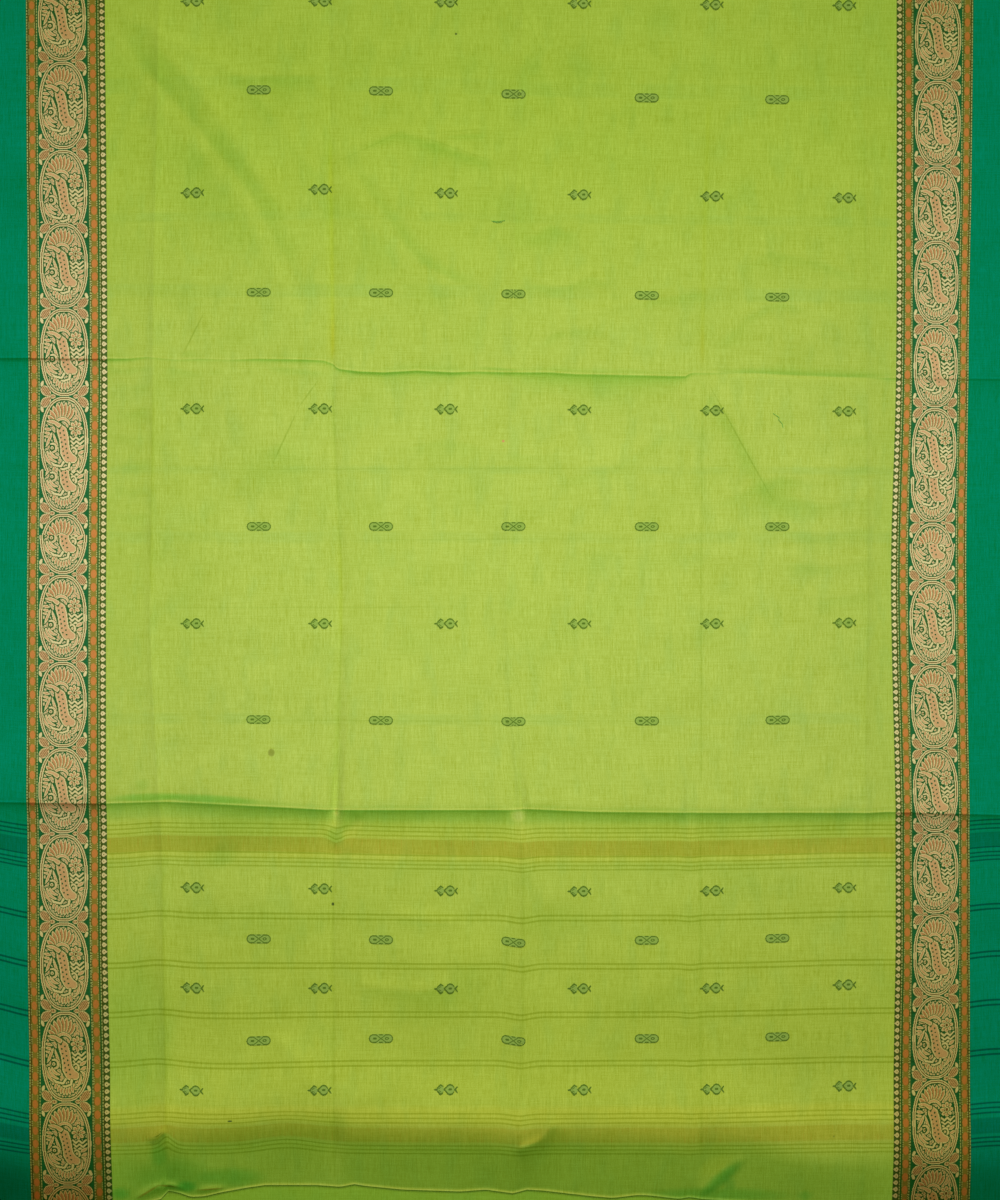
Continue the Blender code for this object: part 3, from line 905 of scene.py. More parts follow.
@dataclass(frozen=True)
class Wrinkle:
    """A pressed or bent line in the cloth that isn't a fold.

    A rise stands up and a trough has a height below 0. Its two sides reach as far as ``left``
    and ``right`` say, as seen along its points.
    """

    points: tuple[Point, ...]
    height: float
    left: float
    right: float
    rounding: float = 1.5

    def relief(self, x: Array, y: Array) -> Array:
        """How far the line lifts the cloth at each point."""
        lengths = [math.dist(a, b) for a, b in zip(self.points, self.points[1:])]
        best = np.full(x.shape, 1e9)
        side = np.zeros(x.shape)
        along = np.zeros(x.shape)
        run = 0.0
        for (x0, y0), (x1, y1), length in zip(self.points, self.points[1:], lengths):
            dx, dy = x1 - x0, y1 - y0
            share = np.clip(((x - x0) * dx + (y - y0) * dy) / length**2, 0, 1)
            px, py = x - x0 - share * dx, y - y0 - share * dy
            away = np.hypot(px, py)
            closer = away < best
            best = np.where(closer, away, best)
            side = np.where(closer, dx * py - dy * px, side)
            along = np.where(closer, (run + share * length) / sum(lengths), along)
            run += length
        taper = ease(np.minimum(along, 1 - along) / 0.22)
        reach = np.where(side > 0, self.left, self.right)
        return self.height * taper * flank(best, reach, self.rounding)


# Short lips in front of the upper crease: height and points.
LIPS = (
    (0.4, (-422, 246), (-411, 243), (-394, 240)), (0.4, (-406, 245), (-384, 245), (-373, 248)),
    (0.4, (-364, 246), (-345, 243), (-322, 239)), (0.35, (-313, 243), (-299, 242)),
    (0.35, (-279, 242), (-262, 243)), (0.4, (-252, 246), (-184, 240)),
    (0.5, (-22, 246), (2, 244), (22, 242)),
)
WRINKLES = (
    Wrinkle(
        ((-418, 620), (-377, 560), (-307, 479), (-270, 431), (-232, 361), (-188, 258)),
        -2.2, 14, 8,
    ),
    Wrinkle(((-385, 610), (-320, 540), (-262, 455), (-220, 390)), 1.6, 12, 9),
    Wrinkle(((-172, 479), (-134, 420), (-86, 355), (-10, 317)), -1.8, 12, 8),
    Wrinkle(((-167, 480), (-107, 501), (-48, 480), (6, 463)), 1.2, 6, 5),
    Wrinkle(((-75, 494), (-10, 501)), 1.0, 5, 5),
    Wrinkle(((-318, 307), (-342, 255)), 0.9, 12, 3),
    Wrinkle(((-194, 231), (-226, 188), (-248, 145)), 1.0, 16, 3),
    Wrinkle(((214, 242), (248, 186), (271, 144), (303, 85)), 1.7, 16, 2.5, 0.8),
    Wrinkle(((22, 640), (54, 555), (87, 480)), 1.2, 4, 22),
    Wrinkle(((-430, 640), (-360, 600), (-280, 560), (-180, 560)), 1.2, 10, 10),
    Wrinkle(((27, 345), (60, 330), (100, 345), (130, 330)), 0.9, 6, 6),
    Wrinkle(((30, 262), (60, 285), (105, 290), (150, 265), (190, 262)), 1.0, 6, 8),
    Wrinkle(((235, 262), (262, 300), (300, 318), (345, 305)), 1.0, 7, 6),
    Wrinkle(((250, 345), (290, 372), (350, 360), (395, 340)), 0.8, 7, 7),
    Wrinkle(((-180, 150), (-60, 168), (40, 150), (110, 172)), 0.7, 10, 14),
    Wrinkle(((60, 120), (130, 145), (205, 190)), 1.1, 12, 14),
    Wrinkle(((225, 95), (300, 128), (365, 118)), 0.8, 12, 10),
    Wrinkle(((-395, 215), (-372, 150), (-380, 60), (-368, -20)), -0.9, 6, 9),
    Wrinkle(((-150, -236), (-160, -252), (-175, -262)), -1.4, 5, 5),
    Wrinkle(((-120, -345), (-60, -352), (-40, -352)), 1.3, 5, 12),
    Wrinkle(((-165, -420), (-90, -428), (-40, -418)), 1.2, 6, 14),
    Wrinkle(((-250, -470), (-215, -500), (-195, -540)), 1.2, 6, 14),
    Wrinkle(((-393, -654), (-371, -640), (-356, -638), (-340, -642)), 2.0, 2.6, 3, 0.7),
    Wrinkle(((-328, -644), (-310, -642), (-296, -642)), 1.2, 2.0, 2.5, 0.6),
    Wrinkle(((-373, -590), (-369, -583), (-364, -578), (-357, -576)), 3.0, 2.4, 4, 0.7),
    Wrinkle(((14, -600), (44, -587), (63, -560)), 2.2, 3.0, 12, 0.8),
    Wrinkle(((214, -652), (238, -630), (266, -602)), 1.4, 7, 4),
    Wrinkle(((222, 238), (275, 238), (321, 236), (376, 234), (428, 233)), -0.9, 3, 2.4, 0.7),
    *(Wrinkle(tuple(points), height, 3, 2, 0.7) for height, *points in LIPS),
    Wrinkle(((33, 253), (65, 296), (152, 318), (216, 328), (249, 318)), 0.9, 6, 8),
    Wrinkle(((30, 378), (55, 400), (85, 385)), 0.8, 6, 6),
    Wrinkle(((-291, 577), (-240, 510), (-183, 436)), 1.0, 8, 8),
    *(Wrinkle(((296, y), (350, y - 8), (416, y + 3)), 0.7, 8, 10) for y in range(4, 180, 34)),
    *(Wrinkle(((-418, y), (-397, y - 6), (-374, y)), 0.6, 7, 8) for y in range(92, 240, 28)),
)


@dataclass
class FoldedCloth:
    """The whole cloth as one sheet.

    Its own coordinates run across the cloth and along it, from the striped end. On the top layer
    they stay close to X and Y.
    """

    half_width: float = 575.0
    half_length: float = 708.5
    pitch: float = 2.4
    first_level: float = 0.5
    loft: float = 1.2
    # Each fold from the lowest: how far its middle lies inside the folded length, how much
    # further in it wavers, and its waves in a metre.
    fold_edges: tuple = ((10.5, -2.5, 5.4), (0, 2.5, 8.0), (0, 2.5, 9.5))
    # How much narrower each lower layer lies: left back, left front, right back, right front.
    draw_in: tuple = ((3.0, 1.5, 1.0, 4.0), (3.0, 2.0, 1.0, 1.5), (0.0, 2.0, 0.0, 1.5))
    inner_inset: float = 9.0
    column_spacing: float = 4.9
    row_spacing: float = 4.7
    end_row_spacing: float = 3.1
    crest_steps: tuple = (0.8, 1.6, 2.5, 3.5, 4.8, 6.4, 8.4, 10.8, 13.8, 17.5)
    end_steps: tuple = (0.8, 1.8, 3.0, 4.3, 5.8, 7.5, 9.4, 11.8)
    warp_steps: tuple = (1.3, 3.1)
    # How far each pressed line's sides reach: half of its height near, half far.
    press_reaches: tuple = (4.0, 13.0)
    # How far each crease across the cloth reaches back, and its lip.
    upper_back: Point = (60.0, 0.3)
    lower_back: Point = (75.0, 0.32)
    # Over what length the top layer comes down to the fold at its back.
    fold_run: float = 45.0
    end_dip: float = -1.4
    end_fall: float = 1.3
    end_flat: float = 2.4
    roll_back: float = 55.0
    roll_bend: float = 0.35
    hem_depth: float = 4.0
    hem_fold: float = 0.7
    # The slight unevenness: how many waves, from and to what length, and their height's share.
    waves: int = 46
    wave_lengths: Point = (38, 170)
    wave_share: float = 0.0011
    # How pale the crests of the two creases are painted, partly as wear and partly as highlight,
    # and how much of the baked picture the top layer takes.
    crest_highlights: Point = (0.16, 0.26)
    top_share: float = 0.93
    name: str = "sari_cloth"
    u: Array = field(init=False)
    points: Array = field(init=False)
    v: Array = field(init=False)
    normals: Array = field(init=False)
    top_rows: tuple[int, int] = field(init=False)

    def __post_init__(self) -> None:
        """Lays the cloth out."""
        self.u = self._columns()
        self._lay()

    def _columns(self) -> Array:
        """Places across the cloth, close together beside each pressed crease."""
        marks = []
        for places, height in WARP_LINES:
            marks.append(places[-1])
            if height:
                marks += [places[-1] + s * step for step in self.warp_steps for s in (-1, 1)]
        marks = sorted(marks)
        found = [marks[0]]
        for left, right in zip(marks, marks[1:]):
            count = max(1, round((right - left) / self.column_spacing))
            found += [mix(left, right, (i + 1) / count) for i in range(count)]
        return np.array(found)

    def across(self, u: Array, y: Array) -> Array:
        """Where places across the cloth lie on the top layer, whose warp lines wander."""
        level = [places[-1] for places, _ in WARP_LINES]
        stations = np.array(STATIONS, float)
        segment = np.clip(np.searchsorted(stations, y) - 1, 0, len(stations) - 2)
        share = ease((y - stations[segment]) / (stations[segment + 1] - stations[segment]))
        x = np.zeros(np.broadcast(u, y).shape)
        for i in range(len(stations) - 1):
            start = np.interp(u, level, [places[i] for places, _ in WARP_LINES])
            stop = np.interp(u, level, [places[i + 1] for places, _ in WARP_LINES])
            x = np.where(segment == i, mix(start, stop, share), x)
        for edge, along, half_length, depth in BORDER_BOWS:
            near = np.interp(u, BORDER_EDGES, [float(place == edge) for place in BORDER_EDGES])
            x = x + depth * near * np.exp(-(((y - along) / half_length) ** 2))
        return x

    def drift(self, u: Array, v: Array) -> Array:
        """How far the weft has drifted towards the striped end."""
        total = np.zeros(np.broadcast(u, v).shape)
        for across, along, half_width, half_length, pull in PULLS:
            over, up = (u - across) / half_width, (v - along) / half_length
            total = total + pull * np.exp(-over * over - up * up)
        return total

    def columns_at(self, x: Array, y: float) -> Array:
        """The places across the cloth that lie at these places of the top layer."""
        level = np.array([places[-1] for places, _ in WARP_LINES])
        return np.interp(x, self.across(level, np.full(level.shape, float(y))), level)

    def woven(self, x: float, y: float) -> Point:
        """The place in the cloth of a point on the top layer."""
        u = self.columns_at(np.array([x]), y)
        v = y
        for _ in range(4):
            v = y + float(self.drift(u, np.array([v]))[0])
        return float(u[0]), v

    def fold_centre(self, layer: int) -> Array:
        """Where the fold above a layer has its centre, along the cloth."""
        inset, depth, waves = self.fold_edges[layer]
        waver = depth * (1 - np.cos(waves * self.u * MM)) / 2
        side = 1 if layer % 2 == 0 else -1
        return side * (self.half_length - inset - waver - self.pitch / 2 - self.first_level)

    def level(self, layer: int) -> float:
        """Height of a layer."""
        return self.first_level + layer * self.pitch

    def crease(self, table: tuple, back: float, lip: float, u: Array, y: Array) -> Array:
        """The ridge that a crease across the cloth raises, with a narrow lip along its crest."""
        away = y - guide(table, u)
        height, front = guide(table, u, 2), guide(table, u, 3)
        droop, reach = guide(table, u, 4), guide(table, u, 5)
        behind = height * np.exp(-away / back) + droop * (
            np.exp(-away / back) - np.exp(-away / reach)
        )
        before = height * (0.72 * np.exp(away / front) + 0.28 * np.exp(away / (front * 3.2)))
        crest = lip * np.minimum(height / 1.2, 1.0) * np.exp(-((away / 1.2) ** 2))
        return np.where(away > 0, behind, before) + crest

    def undulation(self, x: Array, y: Array) -> Array:
        """The slight unevenness that handling has left."""
        draw = np.random.default_rng(11)
        total = np.zeros(x.shape)
        for _ in range(self.waves):
            turn = draw.uniform(0, math.pi)
            length = draw.uniform(*self.wave_lengths)
            size = self.wave_share * length * draw.uniform(0.4, 1.0)
            phase = draw.uniform(0, 2 * math.pi)
            run = x * math.cos(turn) + y * math.sin(turn)
            total += size * np.sin(run * 2 * math.pi / length + phase)
        return total

    def relief(self, u: Array, x: Array, y: Array) -> Array:
        """How far the top layer rises above its level."""
        height = np.full(y.shape, self.loft)
        for places, rise in WARP_LINES:
            away = u - places[-1]
            near, far = (flank(away, reach) for reach in self.press_reaches)
            height = height + rise * (0.5 * near + 0.5 * far)
        for across, along, half_width, half_length, turn, rise in SWELLS:
            over, up = turned(u, y, (across, along), (half_width, half_length), turn)
            height = height + rise * np.exp(-over * over - up * up)
        height = height + self.undulation(x, y)
        height = height + self.crease(UPPER_CREASE, *self.upper_back, u, y)
        height = height + self.crease(LOWER_CREASE, *self.lower_back, u, y)
        height = height * ease((self.half_length - y) / self.fold_run)
        crest, end = guide(END_ROLL, u), guide(STRIPED_END, u)
        towards_end = np.clip((crest - y) / (crest - end - self.end_flat), 0, 1)
        height = mix(height, self.end_dip, towards_end**self.end_fall) + self.end_roll(u, y)
        for wrinkle in WRINKLES:
            height = height + wrinkle.relief(x, y)
        return np.maximum(height, self.end_dip)

    def end_roll(self, u: Array, y: Array) -> Array:
        """The roll before the striped end."""
        crest, height = guide(END_ROLL, u), guide(END_ROLL, u, 2)
        behind = height * np.exp(-(((y - crest) / self.roll_back) ** 2))
        share = np.clip((crest - y) / (crest - guide(STRIPED_END, u) - self.end_flat), 0, 1)
        bend = self.roll_bend
        whole = 2 * bend - bend**2
        before = np.where(
            share < bend, 1 - share**2 / whole, 1 - (2 * bend * share - bend**2) / whole
        )
        return np.where(y > crest, behind, height * before)

    def _top(self) -> tuple[Array, Array]:
        """The top layer from its striped end: its points, and their places along the cloth."""
        end, roll = guide(STRIPED_END, self.u), guide(END_ROLL, self.u)
        lower, upper = guide(LOWER_CREASE, self.u), guide(UPPER_CREASE, self.u)
        back = self.fold_centre(2)
        near = self.crest_steps
        rows = rows_between(end, roll, self.end_steps, (), self.end_row_spacing)
        rows += rows_between(roll, lower, (), near, self.row_spacing)
        rows += rows_between(lower, upper, near, near, self.row_spacing)
        rows += rows_between(upper, back, near, (), self.row_spacing)
        y = np.array([*rows, back])
        u = np.broadcast_to(self.u, y.shape)
        x = self.across(u, y)
        z = self.level(3) + self.relief(u, x, y)
        v = y
        for _ in range(5):
            v = y + self.drift(u, v)
        return np.stack([x, y, z], -1), v

    def _lower(self, layer: int, rows: int) -> Array:
        """A lower layer, from the fold above it to the one below it or to the inner end."""
        side = 1 if layer % 2 == 0 else -1
        start = self.fold_centre(layer)
        if layer:
            stop = self.fold_centre(layer - 1)
        else:
            stop = np.full(self.u.shape, -side * (self.half_length - self.inner_inset))
        y = np.array([mix(start, stop, ease(i / rows) if layer == 2 else i / rows)
                      for i in range(rows + 1)])
        back_left, front_left, back_right, front_right = self.draw_in[layer]
        share = (self.half_length - y) / (2 * self.half_length)
        left = mix(back_left, front_left, share)
        right = mix(back_right, front_right, share)
        inset = np.where(self.u < 0, left, right)
        x = self.u * (1 - inset / self.half_width)
        return np.stack([x, y, np.full(y.shape, self.level(layer))], -1)

    def _fold(self, layer: int, above: Array, below: Array, steps: int = 6) -> Array:
        """The fold between a layer and the one above it, from above."""
        side = 1 if layer % 2 == 0 else -1
        radius = self.pitch / 2
        rows = []
        for i in range(1, steps):
            turn = math.pi * (1 - i / steps)
            x = mix(above[:, 0], below[:, 0], i / steps)
            y = self.fold_centre(layer) + side * radius * math.sin(turn)
            z = np.full(x.shape, self.level(layer) + radius * (1 - math.cos(turn)))
            rows.append(np.stack([x, y, z], -1))
        return np.array(rows)

    def _hem(self, edge: Array) -> Array:
        """The narrow turned hem under the striped end, from its cut edge."""
        radius = self.hem_fold / 2
        rows = []
        for back, drop in (
            (self.hem_depth, self.hem_fold + 0.1), (radius, self.hem_fold), (-0.1, radius),
        ):
            row = edge.copy()
            row[:, 1] += back - radius
            row[:, 2] -= drop
            rows.append(row)
        return np.array(rows)

    def _lay(self) -> None:
        """Puts the whole cloth together, with its places and normals."""
        top, v = self._top()
        hem = self._hem(top[0])
        parts = [hem, top]
        for layer, rows in ((2, 14), (1, 5), (0, 5)):
            flat = self._lower(layer, rows)
            parts += [self._fold(layer, parts[-1][-1], flat[0]), flat]
        self.points = np.concatenate(parts)
        steps = np.linalg.norm(np.diff(self.points[:, :, 1:], axis=0), axis=2)
        rows_before = len(hem)
        places = np.zeros(self.points.shape[:2])
        places[rows_before:rows_before + len(v)] = v
        for row in range(rows_before - 1, -1, -1):
            places[row] = places[row + 1] - steps[row]
        for row in range(rows_before + len(v), len(places)):
            places[row] = places[row - 1] + steps[row - 1]
        self.v = places
        along = np.gradient(self.points, axis=0)
        over = np.gradient(self.points, axis=1)
        normals = np.cross(over, along)
        self.normals = normals / np.linalg.norm(normals, axis=2, keepdims=True)
        self.top_rows = (rows_before, rows_before + len(v))

    def place(self, u: Array, v: Array, lift: float) -> Array:
        """Points over the cloth at places in it.

        Args:
            u: Places across the cloth.
            v: Places along it.
            lift: How far over the cloth's first side they lie.

        Returns:
            Points, one for each place.
        """
        at = np.clip(np.searchsorted(self.u, u) - 1, 0, len(self.u) - 2)
        share = (u - self.u[at]) / (self.u[at + 1] - self.u[at])
        raised = self.points + self.normals * lift
        found = np.zeros((len(u), 3))
        for step, weight in ((0, 1 - share), (1, share)):
            for column in np.unique(at + step):
                here = at + step == column
                for axis in range(3):
                    found[here, axis] += weight[here] * np.interp(
                        v[here], self.v[:, column], raised[:, column, axis]
                    )
        return found

    def flat_size(self) -> Point:
        """The width and length that the cloth was woven to, in metres."""
        length = float(np.mean(self.v[-1] - self.v[0]))
        return 2 * self.half_width * MM, length * MM

    def _crest_and_hem_highlights(self) -> Array:
        """How pale each point is: the creases' crests, partly from wear and partly painted
        highlight, and the hem's edge, a painted highlight.
        """
        y, u = self.points[:, :, 1], np.broadcast_to(self.u, self.v.shape)
        first, last = self.top_rows
        pale = np.zeros(self.v.shape)
        for table, strength in zip((UPPER_CREASE, LOWER_CREASE), self.crest_highlights):
            pale += strength * np.exp(-(((y - guide(table, u) - 0.8) / 0.9) ** 2))
        pale[:first] = 0
        pale[last:] = 0
        # Painted highlight along the hem's edge.
        pale[first - 1:first + 1] = 1.0
        pale[first + 1] = 0.5
        return np.clip(pale, 0, 1)

    def _painted_light_and_rubs(self) -> Array:
        """The tint of each point: painted light and shade from the soft patches, with the rubs and
        painted crease shade along the top layer's lines.
        """
        first, last = self.top_rows
        x, y = self.points[first:last, :, 0], self.points[first:last, :, 1]
        colour = np.ones((*self.v.shape, 3))
        colour[first:last] = painted_light_at(x, y)
        for line, low, high, half, tint in RUBS_AND_CREASE_SHADES:
            along = ease((y - low) / 25) * ease((high - y) / 25)
            share = along * np.exp(-(((self.u - line) / half) ** 2))
            colour[first:last] *= mix(1.0, np.array(tint), share[..., None])
        return colour

    def _bake_places(self) -> Array:
        """Places in the baked picture: most of it for the top layer, the rest for the others."""
        rows, (_, last) = len(self.v), self.top_rows
        across = (self.u + self.half_width) / (2 * self.half_width)
        along = np.zeros(self.v.shape)
        low, high = self.v[0].min(), self.v[last - 1].max()
        along[:last] = self.top_share * (self.v[:last] - low) / (high - low)
        over = (self.v[last - 1:] - self.v[last - 1]) / (self.v[-1] - self.v[last - 1])
        along[last - 1:] = mix(along[last - 1], 1.0, over)
        grid = np.stack([np.broadcast_to(across, (rows, len(self.u))), along], -1)
        return np.clip(grid, 0, 1)

    def build(self) -> bpy.types.Object:
        """Makes the sheet and dresses it.

        Returns:
            The sheet's object.
        """
        rows, columns = self.v.shape
        index = np.arange(rows * columns).reshape(rows, columns)
        faces = np.stack(
            [index[:-1, :-1], index[:-1, 1:], index[1:, 1:], index[1:, :-1]], -1
        ).reshape(-1, 4)
        made = mesh_object(self.name, self.points.reshape(-1, 3), faces)
        u = np.broadcast_to(self.u, self.v.shape)
        add_uv(made.data, "cloth", np.stack([u, self.v], -1).reshape(-1, 2) * MM)
        add_uv(made.data, "OFBake", self._bake_places().reshape(-1, 2))
        add_tint(made.data, self._painted_light_and_rubs())
        # The pale crests and hem edge, painted highlight with some wear on the crests, held as a
        # mesh attribute.
        pressed = made.data.attributes.new("pressed", "FLOAT", "POINT")
        pressed.data.foreach_set("value", self._crest_and_hem_highlights().astype(np.float32).ravel())
        made.data.materials.append(GroundCotton().material(self))
        return made


# Forms on a weaver's chart: how far each thread crossing is outside a form


def ellipse(x: Array, y: Array, centre: Point, half: Point, turn: float = 0.0) -> Array:
    """Distance from an ellipse."""
    return (np.hypot(*turned(x, y, centre, half, turn)) - 1) * min(half)


def leaf(x: Array, y: Array, foot: Point, tip: Point, half: float) -> Array:
    """Distance from a leaf that is pointed at both ends."""
    length = math.dist(foot, tip) / 2
    dx, dy = (tip[0] - foot[0]) / length / 2, (tip[1] - foot[1]) / length / 2
    px, py = x - (foot[0] + tip[0]) / 2, y - (foot[1] + tip[1]) / 2
    along = (px * dx + py * dy) / length
    off = np.abs(py * dx - px * dy)
    inside = off - half * (1 - np.minimum(along * along, 1.0)) ** 0.8
    beyond = np.hypot((np.abs(along) - 1) * length, off)
    return np.where(np.abs(along) < 1, inside, beyond)


def stroke(x: Array, y: Array, points: Iterable) -> Array:
    """Distance from a bent line whose points each have a place and a half width."""
    points = list(points)
    best = np.full(x.shape, 1e9)
    for (x0, y0, r0), (x1, y1, r1) in zip(points, points[1:]):
        dx, dy = x1 - x0, y1 - y0
        share = np.clip(((x - x0) * dx + (y - y0) * dy) / max(dx * dx + dy * dy, 1e-9), 0, 1)
        away = np.hypot(x - x0 - share * dx, y - y0 - share * dy)
        best = np.minimum(best, away - mix(r0, r1, share))
    return best


def grown(mask: Array, steps: int) -> Array:
    """A mask that reaches further by some crossings at every side."""
    for _ in range(steps):
        wider = mask.copy()
        wider[1:] |= mask[:-1]
        wider[:-1] |= mask[1:]
        wider[:, 1:] |= mask[:, :-1]
        wider[:, :-1] |= mask[:, 1:]
        mask = wider
    return mask


def arc(
    centre: Point, half: Point, start: float, stop: float, width: float, grow: float = 0.0
) -> list[tuple[float, float, float]]:
    """Points of a curved line round a centre, from one angle to another, in degrees."""
    points = []
    for i in range(15):
        share = i / 14
        turn = math.radians(mix(start, stop, share))
        size = 1 + grow * share
        points.append(
            (
                centre[0] + half[0] * size * math.cos(turn),
                centre[1] + half[1] * size * math.sin(turn),
                width * (0.55 + 0.9 * share * (1 - share) * 2),
            )
        )
    return points


@dataclass
class Chart:
    """A weaver's chart: the yarn, if any, that floats at each thread crossing."""

    across: Array
    along: Array
    x: Array = field(init=False)
    y: Array = field(init=False)
    yarn: Array = field(init=False)
    # Where forms may show.
    shown: Union[Array, bool] = True

    def __post_init__(self) -> None:
        """Starts with no floats."""
        self.x, self.y = np.meshgrid(self.across, self.along)
        self.yarn = np.zeros(self.x.shape, np.int8)

    def lay(self, where: Array, yarn: Optional[Yarn]) -> None:
        """Puts a yarn, or bare ground, where a mask says."""
        self.yarn[where] = yarn.value if yarn else 0

    def form(
        self,
        distance: Array,
        fill: Yarn = Yarn.TAN,
        rim: Yarn = Yarn.CREAM,
        rim_width: float = 0.8,
        gap: float = 0.6,
        core: Optional[Yarn] = None,
    ) -> None:
        """Draws a form with a rim and a narrow olive line round it.

        Args:
            distance: How far each crossing is outside the form.
            fill: The yarn inside.
            rim: The yarn of its edge.
            rim_width: How wide the edge is.
            gap: How wide the olive line round it is.
            core: The yarn of its middle, where that isn't the fill.
        """
        self.lay((distance < gap) & self.shown, Yarn.OLIVE)
        self.lay((distance < 0) & self.shown, rim)
        self.lay((distance < -rim_width) & self.shown, fill)
        if core:
            self.lay((distance < -rim_width - 0.6) & self.shown, core)


@dataclass
class OvalChart:
    """One repeat of the border's main band: an oval with a long-tailed bird among flowers.

    The bird, its plumes, the flowers and the leaf sprays at the oval's corners are a plain
    drawing of their kind. The chart runs from the top of one oval to the top of the next.
    """

    half_width: float = 26.0
    height: float = 94.0
    across_pitch: float = 0.55
    along_pitch: float = 0.55
    roundness: float = 2.3
    line_width: float = 1.15

    def _oval(self, chart: Chart, top: float) -> Array:
        """Distance from an oval whose top is given."""
        half = self.height / 2
        x = np.abs(chart.x) / self.half_width
        y = np.abs(chart.y - (top - half)) / (half - 0.3)
        size = (x**self.roundness + y**self.roundness + 1e-9) ** (1 / self.roundness)
        up, over = np.gradient(size, self.along_pitch, self.across_pitch)
        return (size - 1) / np.maximum(np.hypot(up, over), 1e-3)

    def _outline(self, chart: Chart, distance: Array) -> None:
        """The oval's two cream lines, with a russet one between and an olive one inside."""
        width = self.line_width
        chart.lay((distance < 0) & (distance > -3.5 * width), Yarn.OLIVE)
        chart.lay((distance < 0) & (distance > -1.9 * width), Yarn.RUSSET)
        chart.lay((distance < 0) & (distance > -width), Yarn.CREAM)
        chart.lay((distance < -1.9 * width) & (distance > -2.9 * width), Yarn.CREAM)

    def _fill_ground(self, chart: Chart) -> None:
        """Small leaves and scales wherever much ground is still bare inside the oval."""
        bare = chart.shown & (chart.yarn == 0)
        spread = grown(~grown(~bare, 2), 1)
        core = grown(~bare, 1)
        filler = bare & ~core & spread
        veins = ((chart.x * 0.9 + np.sin(chart.y * 0.9) * 0.8 + chart.y * 0.55) / 3.3) % 1.0 < 0.2
        filler &= ~veins
        chart.lay(filler, Yarn.CREAM)
        chart.lay(filler & ~grown(~filler, 1), Yarn.TAN)

    def _corner_leaves(self, chart: Chart, junction: float) -> None:
        """Two veined leaves and a small one at each side of where two ovals meet."""
        x = np.abs(chart.x)
        y = chart.y - junction
        veins = ((x + np.abs(y) * 0.6) / 2.0 % 1.0) < 0.4
        for turn in (1, -1):
            shape = leaf(x, y * turn, (15.0, 0.5), (25.6, 11.2), 4.8)
            chart.form(shape, Yarn.CREAM)
            chart.lay((shape < -0.9) & chart.shown, Yarn.TAN)
            chart.lay((shape < -0.9) & veins & chart.shown, Yarn.RUSSET)
            tip = ellipse(x, y * turn, (24.3, 13.4), (1.6, 3.2), 18)
            chart.form(tip, Yarn.CREAM, gap=0.4)
        small = leaf(x, y, (9.2, 0.0), (15.7, 0.0), 2.3)
        chart.form(small, Yarn.TAN)
        chart.lay((small < -0.9) & veins & chart.shown, Yarn.RUSSET)

    def _plumes(self, chart: Chart, x: Array, y: Array) -> None:
        """Crest plumes that fan out under the oval's top, and a flower beside the neck."""
        for turn in range(48, 176, 15):
            c, s = math.cos(math.radians(turn)), math.sin(math.radians(turn))
            foot, tip = (-2 + 8.5 * c, 15.5 + 8.5 * s), (-2 + 18.5 * c, 15.5 + 26.0 * s)
            chart.form(leaf(x, y, foot, tip, 2.7), core=Yarn.SAND)
        chart.form(stroke(x, y, arc((-2, 14.5), (8.2, 9.2), 20, 165, 1.7)))
        for turn in range(0, 360, 45):
            c, s = math.cos(math.radians(turn)), math.sin(math.radians(turn))
            petal = ellipse(x, y, (12.6 + 4.6 * c, 13.0 + 5.6 * s), (2.9, 2.0), turn)
            chart.form(petal, core=Yarn.SAND)
        chart.form(ellipse(x, y, (12.6, 13.0), (2.3, 2.5)), Yarn.RUSSET)

    def _sprays(self, chart: Chart, x: Array, y: Array) -> None:
        """Leaves, tendrils and a curl at the two sides of the bird."""
        for lower in range(3):
            points = [
                (6.5, 4.2, 0.8), (9.5, 1.2, 1.0), (13.0, 3.8, 1.0), (16.6, 0.8, 1.0),
                (20.8, 4.4, 0.8),
            ]
            shift = -4.4 * lower
            wave = [(px + 0.6 * lower, py + shift, r) for px, py, r in points]
            chart.form(stroke(x, y, wave), Yarn.CREAM)
        chart.form(stroke(x, y, arc((10.2, -11.5), (3.6, 4.2), -150, 190, 1.0)), Yarn.CREAM)
        chart.form(ellipse(x, y, (10.2, -11.3), (1.3, 1.6)))
        for foot, tip in (
            ((14.5, -9.5), (21.8, -5.0)), ((15.0, -14.5), (22.6, -10.5)),
            ((14.5, -20.0), (21.8, -15.2)),
        ):
            chart.form(leaf(x, y, foot, tip, 1.9))
        for foot, tip, half in (
            ((-22.4, 13.0), (-13.4, 11.5), 1.7), ((-22.4, 9.0), (-14.4, 7.4), 1.6),
            ((-22.2, 5.0), (-15.6, 4.2), 1.4), ((-12.6, 9.5), (-20.2, -7.0), 1.7),
            ((-11.8, 8.5), (-5.6, -12.0), 1.5),
        ):
            chart.form(leaf(x, y, foot, tip, half), core=Yarn.SAND)
        chart.form(stroke(x, y, arc((-12.4, -7.6), (4.4, 4.6), 120, -150, 1.2)))
        chart.form(ellipse(x, y, (-12.8, -7.6), (1.6, 1.8)), Yarn.RUSSET)
        for size in range(3):
            half = (9.6 + 3.7 * size, 7.4 + 5.0 * size)
            curve = arc((-5.0, -11.0 + 0.6 * size), half, 186, 258 - 3 * size, 1.7)
            chart.form(stroke(x, y, curve))

